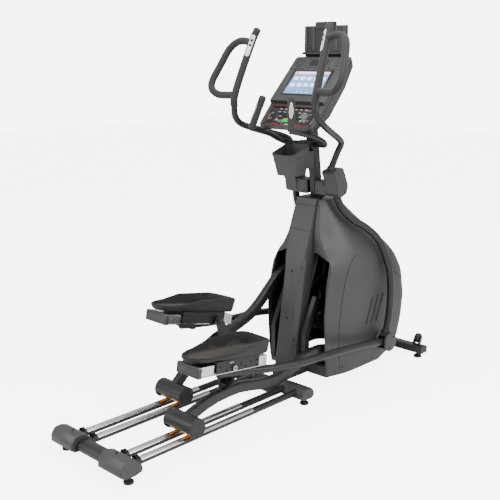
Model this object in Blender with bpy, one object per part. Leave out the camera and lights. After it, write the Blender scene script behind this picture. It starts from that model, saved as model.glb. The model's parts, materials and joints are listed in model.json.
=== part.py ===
"""Front-drive elliptical trainer: frame, shroud, crank drive, rolling arms, pedals,
    swing arms and console.

Metres, +Z up, +X the way the user faces, +Y to the user's left, floor at z = 0.
Each side is built with y pointing outwards and then mirrored onto the left or the right.
"""

import math

import bmesh
import bpy
import numpy as np

CLEAR = 0.0003
RUNNING = 0.0004
SIDES = {"left": 1.0, "right": -1.0}

RAIL_Y = (0.107, 0.183)
RAIL_RADIUS = 0.016
RAIL_Z = 0.058
TRACK_THICKNESS = 0.002
TRACK_X = (-0.921, -0.269)
REAR_X = -1.0
MIDDLE_X = 0.065
FRONT_X = 1.0
STABILIZER_HALF = {"rear": 0.205, "middle": 0.205, "front": 0.283}
CROSS_TUBE = {"rear": (-1.0, 0.062, 0.037, 0.0275), "middle": (0.065, 0.055, 0.034, 0.0225)}
CASTOR = (1.033, 0.098)
FOOT_Y = {"rear": 0.211, "middle": 0.217, "front": 0.257}

CRANK_CENTRE = (0.54, 0.365)
CRANK_RADIUS = 0.235
CRANK_ANGLE = math.radians(-101.0)
ARM_LENGTH = 1.141
ARM_Y = 0.145
WHEEL_RADIUS = 0.039
WHEEL_Z = RAIL_Z + RAIL_RADIUS + CLEAR + TRACK_THICKNESS + CLEAR + WHEEL_RADIUS
HOUSING_RADIUS = 0.045
HOUSING_HALF = 0.085
PEDAL_PIVOT = (0.329, 0.195)

SWING_PIVOT = (0.385, 1.007)
ELBOW = (0.240, -0.808)
ELBOW_Y = 0.287
SLEEVE_RADIUS = 0.031
AXLE_RADIUS = 0.012
BLOCK_Y = (0.0925, 0.168)
HANDLE_SET = math.radians(-1.2)
GRIP_RADIUS = 0.0175
STEM_RADIUS = 0.0155

RAIL_BOX = (-0.300, 0.116)
RAIL_BOX_Y = (0.092, 0.218)
RAIL_BOX_HALF_HEIGHT = 0.0225
CARRIAGE_X = (-0.211, 0.055)
PAD_LENGTH = (-0.335, 0.108)
PAD_HALF_WIDTH = 0.083
PAD_Y = 0.155

PULLEY_RADIUS = 0.150
PULLEY_Y = (0.036, 0.050)
FLYWHEEL_CENTRE = (0.520, 0.700)
FLYWHEEL_RADIUS = 0.100
SMALL_PULLEY_RADIUS = 0.020
BELT_THICKNESS = 0.003

SHELL = 0.004
SHROUD = (
    (0.067, 0.268, 0.705, 0.217, 0.060, 0.190),
    (0.100, 0.264, 0.800, 0.236, 0.080, 0.197),
    (0.160, 0.258, 0.866, 0.240, 0.090, 0.197),
    (0.270, 0.249, 0.904, 0.240, 0.095, 0.197),
    (0.393, 0.243, 0.918, 0.240, 0.095, 0.197),
    (0.535, 0.262, 0.888, 0.240, 0.095, 0.191),
    (0.620, 0.285, 0.838, 0.234, 0.095, 0.188),
    (0.665, 0.297, 0.800, 0.222, 0.092, 0.180),
    (0.710, 0.296, 0.752, 0.206, 0.088, 0.138),
    (0.780, 0.296, 0.668, 0.168, 0.075, 0.102),
    (0.860, 0.308, 0.574, 0.126, 0.055, 0.089),
    (0.950, 0.330, 0.475, 0.088, 0.035, 0.078),
)
SPINE = (
    (0.092, 0.140, 0.045),
    (0.182, 0.153, 0.045),
    (0.401, 0.187, 0.045),
    (0.603, 0.216, 0.045),
    (0.680, 0.236, 0.060),
    (0.760, 0.262, 0.062),
    (0.871, 0.293, 0.062),
    (0.955, 0.318, 0.062),
)
SPINE_HALF = 0.0640
SLOT = ((0.0665, 0.125), (0.184, 0.125), (0.184, 0.610), (0.170, 0.655), (0.090, 0.690), (0.0665, 0.690))

MAST_HALF = (0.030, 0.0225)
CONSOLE_ORIGIN = (0.145, 1.310)
CONSOLE_TILT = math.radians(50.0)
CONSOLE_HALF = 0.170
SCREEN_U = (0.192, 0.336)
SCREEN_HALF = 0.112


def clear_scene():
    for thing in list(bpy.data.objects):
        bpy.data.objects.remove(thing, do_unlink=True)


def material(name, colour, metallic, roughness):
    made = bpy.data.materials.new(name)
    made.use_nodes = True
    shader = made.node_tree.nodes["Principled BSDF"]
    shader.inputs["Base Color"].default_value = (*colour, 1.0)
    shader.inputs["Metallic"].default_value = metallic
    shader.inputs["Roughness"].default_value = roughness
    made.diffuse_color = (*colour, 1.0)
    return made


def new_mesh(name, shape):
    points, faces = shape
    mesh = bpy.data.meshes.new(name)
    mesh.from_pydata([tuple(p) for p in points], [], faces)
    work = bmesh.new()
    work.from_mesh(mesh)
    bmesh.ops.recalc_face_normals(work, faces=work.faces)
    if work.calc_volume(signed=True) < 0:
        bmesh.ops.reverse_faces(work, faces=work.faces)
    work.to_mesh(mesh)
    work.free()
    return mesh


def helper(shape):
    thing = bpy.data.objects.new("helper", new_mesh("helper", shape))
    bpy.context.scene.collection.objects.link(thing)
    thing.hide_render = True
    thing.display_type = "WIRE"
    return thing


def cut_and_join(thing, joins, cuts):
    helpers = []
    for operation, shapes in (("UNION", joins), ("DIFFERENCE", cuts)):
        for shape in shapes:
            other = helper(shape)
            step = thing.modifiers.new(operation, "BOOLEAN")
            step.operation = operation
            step.solver = "EXACT"
            step.object = other
            helpers.append(other)
    if not helpers:
        return
    graph = bpy.context.evaluated_depsgraph_get()
    made = bpy.data.meshes.new_from_object(thing.evaluated_get(graph))
    thing.modifiers.clear()
    thing.data = made
    for other in helpers:
        bpy.data.objects.remove(other, do_unlink=True)


def tidy(mesh):
    work = bmesh.new()
    work.from_mesh(mesh)
    bmesh.ops.remove_doubles(work, verts=work.verts, dist=0.00002)
    bmesh.ops.dissolve_degenerate(work, edges=work.edges, dist=0.00002)
    bmesh.ops.triangulate(work, faces=work.faces)
    work.to_mesh(mesh)
    work.free()


def part(name, look, joins, cuts=(), origin=(0.0, 0.0, 0.0), side=1.0):
    """One named sub-part: the first shape joined with the rest, then cut, then mirrored onto its side."""
    thing = bpy.data.objects.new(name, new_mesh(name, joins[0]))
    bpy.context.scene.collection.objects.link(thing)
    cut_and_join(thing, joins[1:], cuts)
    work = bmesh.new()
    work.from_mesh(thing.data)
    for point in work.verts:
        point.co.y *= side
        point.co.x -= origin[0]
        point.co.y -= origin[1]
        point.co.z -= origin[2]
    if side < 0:
        bmesh.ops.reverse_faces(work, faces=work.faces)
    work.to_mesh(thing.data)
    work.free()
    tidy(thing.data)
    thing.data.name = name
    thing.location = origin
    thing.data.materials.clear()
    thing.data.materials.append(look)
    for face in thing.data.polygons:
        face.use_smooth = True
    return thing


def loft(rings):
    """Closed body through rings of equal count."""
    count = len(rings[0])
    points = [p for ring in rings for p in ring]
    faces = [tuple(range(count))[::-1]]
    for level in range(len(rings) - 1):
        for step in range(count):
            a = level * count + step
            b = level * count + (step + 1) % count
            faces.append((a, b, b + count, a + count))
    last = (len(rings) - 1) * count
    faces.append(tuple(range(last, last + count)))
    return points, faces


def box(low, high):
    ring = [(low[0], low[1]), (high[0], low[1]), (high[0], high[1]), (low[0], high[1])]
    return loft([[(x, y, z) for x, y in ring] for z in (low[2], high[2])])


def prism(outline, y_low, y_high):
    """An outline in x and z, drawn out along y."""
    return loft([[(x, y, z) for x, z in outline] for y in (y_low, y_high)])


def circle(centre, radius, count, start=0.0):
    steps = [start + 2 * math.pi * k / count for k in range(count)]
    return [(centre[0] + radius * math.cos(a), centre[1] + radius * math.sin(a)) for a in steps]


def disc(centre, radius, y_low, y_high, count=20):
    return prism(circle(centre, radius, count, math.pi / count), y_low, y_high)


def post(x, y, radius, z_low, z_high, count=16):
    ring = circle((x, y), radius, count)
    return loft([[(px, py, z) for px, py in ring] for z in (z_low, z_high)])


def spool(centre, stations, count=28):
    """A turned body on a y axis: stations are (y, radius)."""
    rings = []
    for y, radius in stations:
        rings.append([(px, y, pz) for px, pz in circle(centre, radius, count)])
    return loft(rings)


def beam(start, end, width, height):
    """A straight box between two points in x and z, width along y about each point's own y."""
    dx, dz = end[0] - start[0], end[2] - start[2]
    size = math.hypot(dx, dz)
    nx, nz = -dz / size * height / 2, dx / size * height / 2
    rings = []
    for x, y, z in (start, end):
        rings.append(
            [
                (x - nx, y - width / 2, z - nz),
                (x - nx, y + width / 2, z - nz),
                (x + nx, y + width / 2, z + nz),
                (x + nx, y - width / 2, z + nz),
            ]
        )
    return loft(rings)


def curve(points, steps):
    """A smooth path through the points, by Catmull-Rom pieces."""
    p = np.array(points, float)
    p = np.vstack([2 * p[0] - p[1], p, 2 * p[-1] - p[-2]])
    path = []
    for k in range(1, len(p) - 2):
        for t in np.linspace(0.0, 1.0, steps, endpoint=False):
            a, b, c, d = p[k - 1], p[k], p[k + 1], p[k + 2]
            path.append(
                0.5
                * (
                    2 * b
                    + (c - a) * t
                    + (2 * a - 5 * b + 4 * c - d) * t**2
                    + (3 * b - a - 3 * c + d) * t**3
                )
            )
    path.append(p[-2])
    return np.array(path)


def tube(path, radius, count=12, flat=None):
    """A round tube along a path; flat gives (half width, half height) for a rounded bar instead."""
    path = np.array(path, float)
    ahead = np.gradient(path, axis=0)
    ahead /= np.linalg.norm(ahead, axis=1)[:, None]
    side = np.cross(ahead[0], (0.0, 0.0, 1.0))
    if np.linalg.norm(side) < 0.2:
        side = np.array((0.0, 1.0, 0.0))
    rings = []
    for point, way in zip(path, ahead):
        side = side - way * side.dot(way)
        side = side / np.linalg.norm(side)
        up = np.cross(side, way)
        ring = []
        for k in range(count):
            a = 2 * math.pi * (k + 0.5) / count
            if flat:
                c, s = math.cos(a), math.sin(a)
                grow = 1.0 / max(abs(c), abs(s)) ** 0.75
                ring.append(tuple(point + side * flat[0] * c * grow + up * flat[1] * s * grow))
            else:
                ring.append(tuple(point + side * radius * math.cos(a) + up * radius * math.sin(a)))
        rings.append(ring)
    return loft(rings)


def turned(x, z, angle):
    """Rotation about +Y."""
    c, s = math.cos(angle), math.sin(angle)
    return x * c + z * s, -x * s + z * c


def moved(shape, angle, pivot):
    """A shape turned about +Y and then set at a pivot in x and z."""
    points, faces = shape
    done = []
    for x, y, z in points:
        rx, rz = turned(x, z, angle)
        done.append((rx + pivot[0], y, rz + pivot[1]))
    return done, faces


def linkage():
    """The rest positions that close each side's chain of crank, rolling arm, link and swing arm."""
    found = {}
    cx, cz = CRANK_CENTRE
    for name, turn in (("right", 0.0), ("left", math.pi)):
        angle = CRANK_ANGLE + turn
        pin = (cx + CRANK_RADIUS * math.cos(angle), cz + CRANK_RADIUS * math.sin(angle))
        wheel = (pin[0] - math.sqrt(ARM_LENGTH**2 - (pin[1] - WHEEL_Z) ** 2), WHEEL_Z)
        lean = -math.atan2(pin[1] - wheel[1], pin[0] - wheel[0])
        bx, bz = turned(*PEDAL_PIVOT, lean)
        pedal = (wheel[0] + bx, wheel[1] + bz)
        found[name] = {"pin": pin, "wheel": wheel, "lean": lean, "pedal": pedal, "crank": angle}
    sx, sz = SWING_PIVOT
    elbow = (sx + ELBOW[0], sz + ELBOW[1])
    reach = math.hypot(*ELBOW)
    link = math.dist(elbow, found["right"]["pedal"])
    base = math.atan2(ELBOW[1], ELBOW[0])
    low, high = -0.35, 0.35
    for _ in range(60):
        middle = (low + high) / 2
        tip = (sx + reach * math.cos(base - middle), sz + reach * math.sin(base - middle))
        if math.dist(tip, found["left"]["pedal"]) > link:
            low = middle
        else:
            high = middle
    for name, swing in (("right", 0.0), ("left", low)):
        side = found[name]
        side["swing"] = swing
        side["elbow"] = (
            sx + reach * math.cos(base - swing),
            sz + reach * math.sin(base - swing),
        )
        dx = side["elbow"][0] - side["pedal"][0]
        dz = side["elbow"][1] - side["pedal"][1]
        side["link_lean"] = -math.atan2(dz, dx)
    found["link"] = link
    return found


def looks():
    return {
        "steel": material("painted_steel", (0.030, 0.028, 0.027), 0.2, 0.42),
        "plastic": material("moulded_plastic", (0.050, 0.050, 0.051), 0.0, 0.45),
        "dark": material("dark_plastic", (0.018, 0.018, 0.019), 0.0, 0.5),
        "foam": material("foam_grip", (0.035, 0.033, 0.031), 0.0, 0.85),
        "aluminium": material("bright_aluminium", (0.80, 0.80, 0.80), 1.0, 0.22),
        "rubber": material("rubber", (0.015, 0.015, 0.015), 0.0, 0.8),
        "orange": material("polyurethane_wheel", (0.85, 0.36, 0.03), 0.0, 0.4),
        "iron": material("cast_iron", (0.10, 0.10, 0.10), 0.8, 0.5),
        "screen": material("display_glass", (0.30, 0.45, 0.75), 0.0, 0.15),
        "green": material("green_key", (0.05, 0.60, 0.10), 0.0, 0.5),
        "red": material("red_key", (0.60, 0.03, 0.03), 0.0, 0.5),
        "white": material("white_key_plate", (0.80, 0.80, 0.80), 0.0, 0.4),
    }


def cross_tube(place, half, grow=0.0):
    x, z, wide, tall = CROSS_TUBE[place]
    angles = [2 * math.pi * (k + 0.5) / 20 for k in range(20)]
    ring = [(x + (wide + grow) * math.cos(a), z + (tall + grow) * math.sin(a)) for a in angles]
    return prism(ring, -half, half)


def build_rail_frame(look):
    shapes = [cross_tube("rear", STABILIZER_HALF["rear"] + 0.015)]
    for y in RAIL_Y:
        for side in (1, -1):
            path = [(REAR_X + 0.012, side * y, RAIL_Z), (MIDDLE_X - 0.012, side * y, RAIL_Z)]
            shapes.append(tube(path, RAIL_RADIUS, 16))
    shapes.append(cross_tube("middle", STABILIZER_HALF["middle"] + 0.015))
    shapes.append(box((MIDDLE_X - 0.10, -0.075, 0.047), (MIDDLE_X - 0.02, 0.075, 0.060)))
    part("rail_frame", look["steel"], shapes)


def track_shape(y):
    inner = RAIL_RADIUS + CLEAR
    outer = inner + TRACK_THICKNESS
    angles = [math.radians(90 + 68 * k / 5) for k in range(-5, 6)]
    ring = [(y + outer * math.cos(a), RAIL_Z + outer * math.sin(a)) for a in angles]
    ring += [(y + inner * math.cos(a), RAIL_Z + inner * math.sin(a)) for a in reversed(angles)]
    return loft([[(x, py, pz) for py, pz in ring] for x in TRACK_X])


def build_tracks(look):
    for name, side in SIDES.items():
        for place, y in zip(("inner", "outer"), RAIL_Y):
            part(f"track_{name}_{place}", look["aluminium"], [track_shape(y)], side=side)


CAP_OUTLINE = {
    "rear": (
        (0.040, 0.038), (-0.010, 0.036), (-0.046, 0.044), (-0.052, 0.058), (-0.045, 0.078), (-0.020,
            0.102),
        (0.004, 0.110), (0.036, 0.108), (0.052, 0.092), (0.060, 0.074), (0.060, 0.052),
    ),
    "middle": (
        (0.030, 0.030), (-0.030, 0.030), (-0.046, 0.038), (-0.050, 0.050), (-0.036, 0.070), (-0.014,
            0.083),
        (0.010, 0.086), (0.030, 0.080), (0.043, 0.062), (0.044, 0.042),
    ),
}


def end_cap(place, x, facing):
    """A moulded cap over one end of a cross tube; facing is the way its sloping nose points."""
    body = [(x - facing * a, b) for a, b in CAP_OUTLINE[place]]
    middle = sum(b for _, b in body) / len(body)
    inner = [(x + (a - x) * 0.93, middle + (b - middle) * 0.93) for a, b in body]
    return loft(
        [
            [(a, 0.088, b) for a, b in inner],
            [(a, 0.094, b) for a, b in body],
            [(a, 0.236, b) for a, b in body],
            [(a, 0.244, b) for a, b in inner],
        ]
    )


def build_end_caps(look):
    for place, x, facing in (("rear", REAR_X, 1), ("middle", MIDDLE_X, -1)):
        cuts = [cross_tube(place, STABILIZER_HALF[place] + 0.0155, 0.0006)]
        for y in RAIL_Y:
            low, high = (x, x + 0.3) if place == "rear" else (x - 0.3, x)
            cuts.append(tube([(low, y, RAIL_Z), (high, y, RAIL_Z)], RAIL_RADIUS + 0.0006, 16))
        cuts.append(post(x, FOOT_Y[place], 0.010, 0.0, CROSS_TUBE[place][1], 12))
        for name, side in SIDES.items():
            part(f"{place}_cap_{name}", look["plastic"], [end_cap(place, x, facing)], cuts, side=side)


def build_feet(look):
    heights = {"rear": 0.0340, "middle": 0.0320, "front": 0.0317}
    places = {"rear": REAR_X, "middle": MIDDLE_X, "front": FRONT_X}
    for place, x in places.items():
        y = FOOT_Y[place]
        top = heights[place]
        rings = []
        for radius, z in ((0.021, 0.0), (0.0225, 0.003), (0.0225, 0.010), (0.016, 0.015),
                          (0.009, 0.0155), (0.009, 0.021), (0.005, 0.0215), (0.005, top)):
            rings.append([(px, py, z) for px, py in circle((x, y), radius, 16)])
        for name, side in SIDES.items():
            part(f"foot_{place}_{name}", look["rubber"], [loft(rings)], side=side)


def build_drive_frame(look):
    cx, cz = CRANK_CENTRE
    fx, fz = FLYWHEEL_CENTRE
    half = STABILIZER_HALF["front"]
    shapes = [box((0.108, -0.030, 0.045), (FRONT_X, 0.030, 0.085))]
    front = [(0.972, 0.032), (1.028, 0.032), (1.030, 0.064), (1.022, 0.070), (0.978, 0.070), (0.970,
        0.064)]
    shapes.append(prism(front, -half, half))
    for side in (1, -1):
        a, b = sorted((side * (half - 0.003), side * (half + 0.014)))
        cap = [(1.0 + (x - 1.0) * 1.05, 0.051 + (z - 0.051) * 1.05) for x, z in front]
        shapes.append(prism(cap, a, b))
    column = [(0.235, 0.080), (0.295, 0.080), (0.312, 0.360), (0.325, 0.550), (0.420, 0.8995),
              (0.375, 0.8995), (0.268, 0.550), (0.255, 0.360)]
    shapes.append(prism(column, -0.022, 0.022))
    shapes.append(box((0.285, -0.018, 0.345), (cx, 0.018, 0.385)))
    shapes.append(disc((cx, cz), 0.030, -0.031, 0.031))
    for side in (1, -1):
        low, high = sorted((side * 0.019, side * 0.026))
        arm = [(0.320, 0.660), (fx, fz - 0.018), (fx + 0.018, fz), (fx, fz + 0.018), (0.350, 0.740)]
        shapes.append(prism(arm, low, high))
        low, high = sorted((side * 0.0885, side * 0.1135))
        stand = [(0.190, 0.128), (0.318, 0.128), (0.318, 0.150), (0.222, 0.156), (0.222, 0.290),
            (0.300, 0.462),
                 (0.270, 0.475), (0.190, 0.303)]
        shapes.append(prism(stand, low, high))
        ear = [(1.002, 0.060), (1.026, 0.060), (1.042, 0.092), (1.039, 0.104), (1.027, 0.104)]
        for near, far in ((0.2140, 0.2230), (0.2490, 0.2560)):
            low, high = sorted((side * near, side * far))
            shapes.append(prism(ear, low, high))
        low, high = sorted((side * 0.2150, side * 0.2550))
        shapes.append(disc(CASTOR, 0.0055, low, high, 16))
    shapes.append(box((0.2925, -0.100, 0.131), (0.3160, 0.100, 0.147)))
    cuts = [disc((cx, cz), 0.015 + RUNNING, -0.1, 0.1, 24)]
    cuts.append(disc((fx, fz), 0.008 + RUNNING, -0.1, 0.1, 20))
    part("drive_frame", look["steel"], shapes, cuts)


def build_transport_wheels(look):
    for name, side in SIDES.items():
        wheel = spool(CASTOR, [(0.2240, 0.024), (0.2270, 0.027), (0.2450, 0.027), (0.2480, 0.024)], 24)
        bore = disc(CASTOR, 0.0055 + RUNNING, 0.2, 0.3, 16)
        centre = (CASTOR[0], side * 0.236, CASTOR[1])
        part(f"transport_wheel_{name}", look["rubber"], [wheel], [bore], origin=centre, side=side)


def build_crank(look, rest):
    cx, cz = CRANK_CENTRE
    pulley = spool((cx, cz), [(PULLEY_Y[0], PULLEY_RADIUS), (PULLEY_Y[1], PULLEY_RADIUS)], 40)
    shaft = disc((cx, cz), 0.015, -0.0617, 0.0617, 24)
    holes = [disc((cx + 0.088 * math.cos(a), cz + 0.088 * math.sin(a)), 0.032, 0.0, 0.06, 14)
             for a in [math.radians(30 + 60 * k) for k in range(6)]]
    part("crank_pulley", look["iron"], [shaft, pulley], holes, origin=(cx, 0.0, cz))
    for name, side in SIDES.items():
        pin = rest[name]["pin"]
        bar = beam((cx, 0.070, cz), (pin[0], 0.070, pin[1]), 0.016, 0.034)
        shapes = [bar, disc((cx, cz), 0.026, 0.0620, 0.0780), disc(pin, 0.020, 0.0618, 0.0782)]
        shapes.append(disc(pin, 0.012, 0.070, 0.120, 16))
        part(f"crank_arm_{name}", look["steel"], shapes, origin=(cx, 0.0, cz), side=side)


def build_flywheel(look):
    fx, fz = FLYWHEEL_CENTRE
    wheel = spool((fx, fz), [(-0.0140, 0.088), (-0.0140, 0.098), (-0.0125, FLYWHEEL_RADIUS),
                             (0.0125, FLYWHEEL_RADIUS), (0.0140, 0.098), (0.0140, 0.088)], 36)
    axle = disc((fx, fz), 0.008, -0.030, 0.052, 20)
    small = spool((fx, fz), [(PULLEY_Y[0], SMALL_PULLEY_RADIUS), (PULLEY_Y[1], SMALL_PULLEY_RADIUS)], 24)
    part("flywheel", look["iron"], [wheel, axle, small], origin=(fx, 0.0, fz))


def belt_outline(grow):
    big, small = PULLEY_RADIUS + grow, SMALL_PULLEY_RADIUS + grow
    dx, dz = FLYWHEEL_CENTRE[0] - CRANK_CENTRE[0], FLYWHEEL_CENTRE[1] - CRANK_CENTRE[1]
    gap = math.hypot(dx, dz)
    way = math.atan2(dz, dx)
    open_angle = math.acos((big - small) / gap)
    ring = []
    for k in range(29):
        a = way + open_angle + (2 * math.pi - 2 * open_angle) * k / 28
        ring.append((CRANK_CENTRE[0] + big * math.cos(a), CRANK_CENTRE[1] + big * math.sin(a)))
    for k in range(13):
        a = way - open_angle + 2 * open_angle * k / 12
        ring.append((FLYWHEEL_CENTRE[0] + small * math.cos(a), FLYWHEEL_CENTRE[1] + small * math.sin(a)))
    return ring


def build_belt(look):
    belt = prism(belt_outline(0.0008 + BELT_THICKNESS), PULLEY_Y[0] + 0.001, PULLEY_Y[1] - 0.001)
    hollow = prism(belt_outline(0.0008), 0.0, 0.1)
    part("drive_belt", look["rubber"], [belt], [hollow])


def shroud_ring(level, inset, centre):
    z, rear, front, half, corner, tail = level
    rear, front, half, tail = rear + inset, front - inset, half - inset, tail - inset
    corner = corner - inset
    middle = rear + 0.42 * (front - rear)
    ring = [(front, centre), (front, (half - corner) * 0.6)]
    for k in range(5):
        a = math.pi / 2 * k / 4
        ring.append((front - corner + corner * math.cos(a), half - corner + corner * math.sin(a)))
    ring.append((middle, half))
    ring.append((rear + 0.4 * (middle - rear), tail + 0.72 * (half - tail)))
    small = max(0.014 - inset, 0.004)
    for k in range(3):
        a = math.pi / 2 + math.pi / 2 * k / 2
        ring.append((rear + small + small * math.cos(a), tail - small + small * math.sin(a)))
    ring.append((rear, centre))
    return [(x, y, z) for x, y in ring]


def build_side_covers(look):
    outer = loft([shroud_ring(level, 0.0, 0.002) for level in SHROUD])
    levels = [list(level) for level in SHROUD]
    levels[0][0] += SHELL
    levels[-1][0] -= SHELL
    hollow = loft([shroud_ring(level, SHELL, -0.03) for level in levels])
    spine = [(-0.1, 0.0)] + [(level[1] + 0.030, level[0]) for level in SHROUD]
    spine += [(0.360, 1.0), (-0.1, 1.0)]
    spine[1] = (spine[1][0], 0.0)
    slot = loft([[(x, y, z) for y, z in SLOT] for x in (-0.1, 0.330)])
    cuts = [hollow, slot, prism(spine, -0.1, 0.0655)]
    cuts.append(box((0.0, -0.1, 0.0), (1.0, 0.0345, 0.0885)))
    cuts.append(box((0.300, -0.1, 0.90), (0.4365, 0.0265, 1.1)))
    for k in range(3):
        x = 0.520 + 0.045 * k
        groove = beam((x, 0.240, 0.290), (x + 0.055, 0.240, 0.440), 0.0030, 0.014)
        cuts.append(groove)
    for name, side in SIDES.items():
        part(f"side_cover_{name}", look["plastic"], [outer], cuts, side=side)


def spine_ring(level, inset, front):
    z, rear, half = level
    rear, half, wide = rear + inset, half - inset, SPINE_HALF - inset
    shoulder = rear + 0.022
    ring = [(rear, -half), (shoulder, -wide), (front, -wide), (front, wide), (shoulder, wide), (rear,
        half)]
    return [(x, y, z) for x, y in ring]


def rear_of_shroud(z):
    return float(np.interp(z, [level[0] for level in SHROUD], [level[1] for level in SHROUD]))


def build_spine(look):
    outer = loft([spine_ring(level, 0.0, rear_of_shroud(level[0]) + 0.024) for level in SPINE])
    levels = [list(level) for level in SPINE]
    levels[0][0] -= 0.05
    levels[-1][0] -= SHELL
    hollow = loft([spine_ring(level, SHELL, rear_of_shroud(level[0]) + 0.100) for level in levels])
    cuts = [hollow, box((0.0, -0.0345, 0.0), (0.4, 0.0345, 0.100))]
    part("spine_cover", look["plastic"], [outer], cuts)


def mast_x(z):
    return 0.400 - (z - 0.940) * 0.141


def build_mast(look):
    rings = []
    for z in (0.900, 1.318):
        x = mast_x(z)
        ring = [(-1, -0.6), (-0.7, -1), (0.7, -1), (1, -0.6), (1, 0.6), (0.7, 1), (-0.7, 1), (-1, 0.6)]
        rings.append([(x + MAST_HALF[0] * a, MAST_HALF[1] * b, z) for a, b in ring])
    axle = disc(SWING_PIVOT, AXLE_RADIUS, -0.150, 0.150, 20)
    part("console_mast", look["steel"], [loft(rings), axle])


def from_console(u, v):
    c, s = math.cos(CONSOLE_TILT), math.sin(CONSOLE_TILT)
    return CONSOLE_ORIGIN[0] + u * c - v * s, CONSOLE_ORIGIN[1] + u * s + v * c


def console_box(u_low, u_high, v_low, v_high, y_low, y_high, lean=0.0, face=0.0):
    corners = [(u_low, v_low), (u_high, v_low), (u_high, v_high), (u_low, v_high)]
    middle = ((u_low + u_high) / 2, face)
    turned_corners = []
    for u, v in corners:
        du, dv = u - middle[0], v - middle[1]
        c, s = math.cos(lean), math.sin(lean)
        turned_corners.append((middle[0] + du * c - dv * s, middle[1] + du * s + dv * c))
    return prism([from_console(u, v) for u, v in turned_corners], y_low, y_high)


SCREEN_LEAN = math.atan2(-0.020, 0.285)
KEYS = {
    "start_key": (0.045, 0.018, 0.030, 0.020, "green"),
    "stop_key": (0.045, -0.022, 0.030, 0.020, "red"),
    "level_rocker": (0.065, 0.118, 0.022, 0.058, "dark"),
    "resistance_rocker": (0.065, -0.118, 0.022, 0.058, "dark"),
}


def build_console(look):
    outline = [(0.0, -0.012), (0.008, 0.0), (0.136, 0.0), (0.146, 0.016), (0.431, -0.004), (0.440, -0.014),
               (0.420, -0.050), (0.300, -0.070), (0.120, -0.068), (0.030, -0.040), (0.004, -0.022)]
    rings = []
    middle = (0.22, -0.025)
    for y, size in ((-1.0, 0.955), (-0.955, 1.0), (0.955, 1.0), (1.0, 0.955)):
        ring = []
        for u, v in outline:
            ring.append((middle[0] + (u - middle[0]) * size, middle[1] + (v - middle[1]) * size))
        rings.append([(x, y * CONSOLE_HALF, z) for x, z in [from_console(u, v) for u, v in ring]])
    surface = 0.016 + (sum(SCREEN_U) / 2 - 0.146) * math.tan(SCREEN_LEAN)
    pocket = console_box(SCREEN_U[0] - CLEAR, SCREEN_U[1] + CLEAR, surface - 0.007, surface + 0.02,
                         -SCREEN_HALF - CLEAR, SCREEN_HALF + CLEAR, SCREEN_LEAN, surface)
    cuts = [pocket]
    for u, y, wide, tall, _ in KEYS.values():
        cuts.append(console_box(u - tall / 2 - 0.0006, u + tall / 2 + 0.0006, -0.0060, 0.05,
                                y - wide / 2 - 0.0006, y + wide / 2 + 0.0006))
    mouth_top = mast_x(1.318)
    cuts.append(box((mouth_top - 0.036, -0.0240, 1.2), (mouth_top + 0.040, 0.0240, 1.320)))
    part("console_housing", look["plastic"], [loft(rings)], cuts)
    screen = console_box(SCREEN_U[0], SCREEN_U[1], surface - 0.0065, surface - 0.0010,
                         -SCREEN_HALF, SCREEN_HALF, SCREEN_LEAN, surface)
    part("display_screen", look["screen"], [screen])
    for name, (u, y, wide, tall, colour) in KEYS.items():
        key = console_box(u - tall / 2, u + tall / 2, -0.0020, 0.0012, y - wide / 2, y + wide / 2)
        x, z = from_console(u, 0.0)
        part(name, look[colour], [key], origin=(x, y, z))


def build_tablet_rack(look):
    plate = [(0.441, 1.786), (0.455, 1.786), (0.457, 1.662), (0.474, 1.604), (0.4600, 1.600),
             (0.4440, 1.6425), (0.4400, 1.6480), (0.418, 1.6500), (0.418, 1.6600), (0.440, 1.6620)]
    part("tablet_rack", look["plastic"], [prism(plate, -0.128, 0.128)])
    clamp = [(0.4575, 1.700), (0.4670, 1.700), (0.4670, 1.8035), (0.4230, 1.8035), (0.4230, 1.7700),
             (0.4300, 1.7700), (0.4300, 1.7868), (0.4575, 1.7868)]
    part("tablet_clamp", look["dark"], [prism(clamp, -0.050, 0.050)], origin=(0.4603, 0.0, 1.700))


def tub(inset, floor):
    """The holder's tapered tub: rings from the floor to the tilted rim."""
    rings = []
    for t in (0.0, 1.0):
        half = 0.058 + 0.016 * t - inset
        rear = 0.142 - 0.020 * t + inset
        front = 0.262 + 0.006 * t - inset
        corner = 0.022
        ring = []
        for sx, sy in ((-1, -1), (1, -1), (1, 1), (-1, 1)):
            x = rear if sx < 0 else front
            first, second = ((x, sy * (half - corner)), (x - sx * corner, sy * half))
            if sx * sy > 0:
                first, second = second, first
            if sx < 0 and sy < 0:
                first, second = (x, sy * (half - corner)), (x + corner, sy * half)
            elif sx > 0 and sy < 0:
                first, second = (x - corner, sy * half), (x, sy * (half - corner))
            elif sx > 0 and sy > 0:
                first, second = (x, sy * (half - corner)), (x - corner, sy * half)
            else:
                first, second = (x + corner, sy * half), (x, sy * (half - corner))
            ring += [first, second]
        points = []
        for x, y in ring:
            z = floor + (1.180 + (x - 0.122) * 0.36 - floor) * t
            points.append((x, y, z))
        rings.append(points)
    return rings


def build_cup_holder(look):
    outer = loft(tub(0.0, 1.082))
    inner = tub(0.004, 1.087)
    inner[1] = [(x, y, z + 0.010) for x, y, z in inner[1]]
    arm = box((0.255, -0.030, 1.105), (mast_x(1.190) - MAST_HALF[0] - 0.0005, 0.030, 1.190))
    part("cup_holder", look["plastic"], [outer, arm], [loft(inner)])


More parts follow.
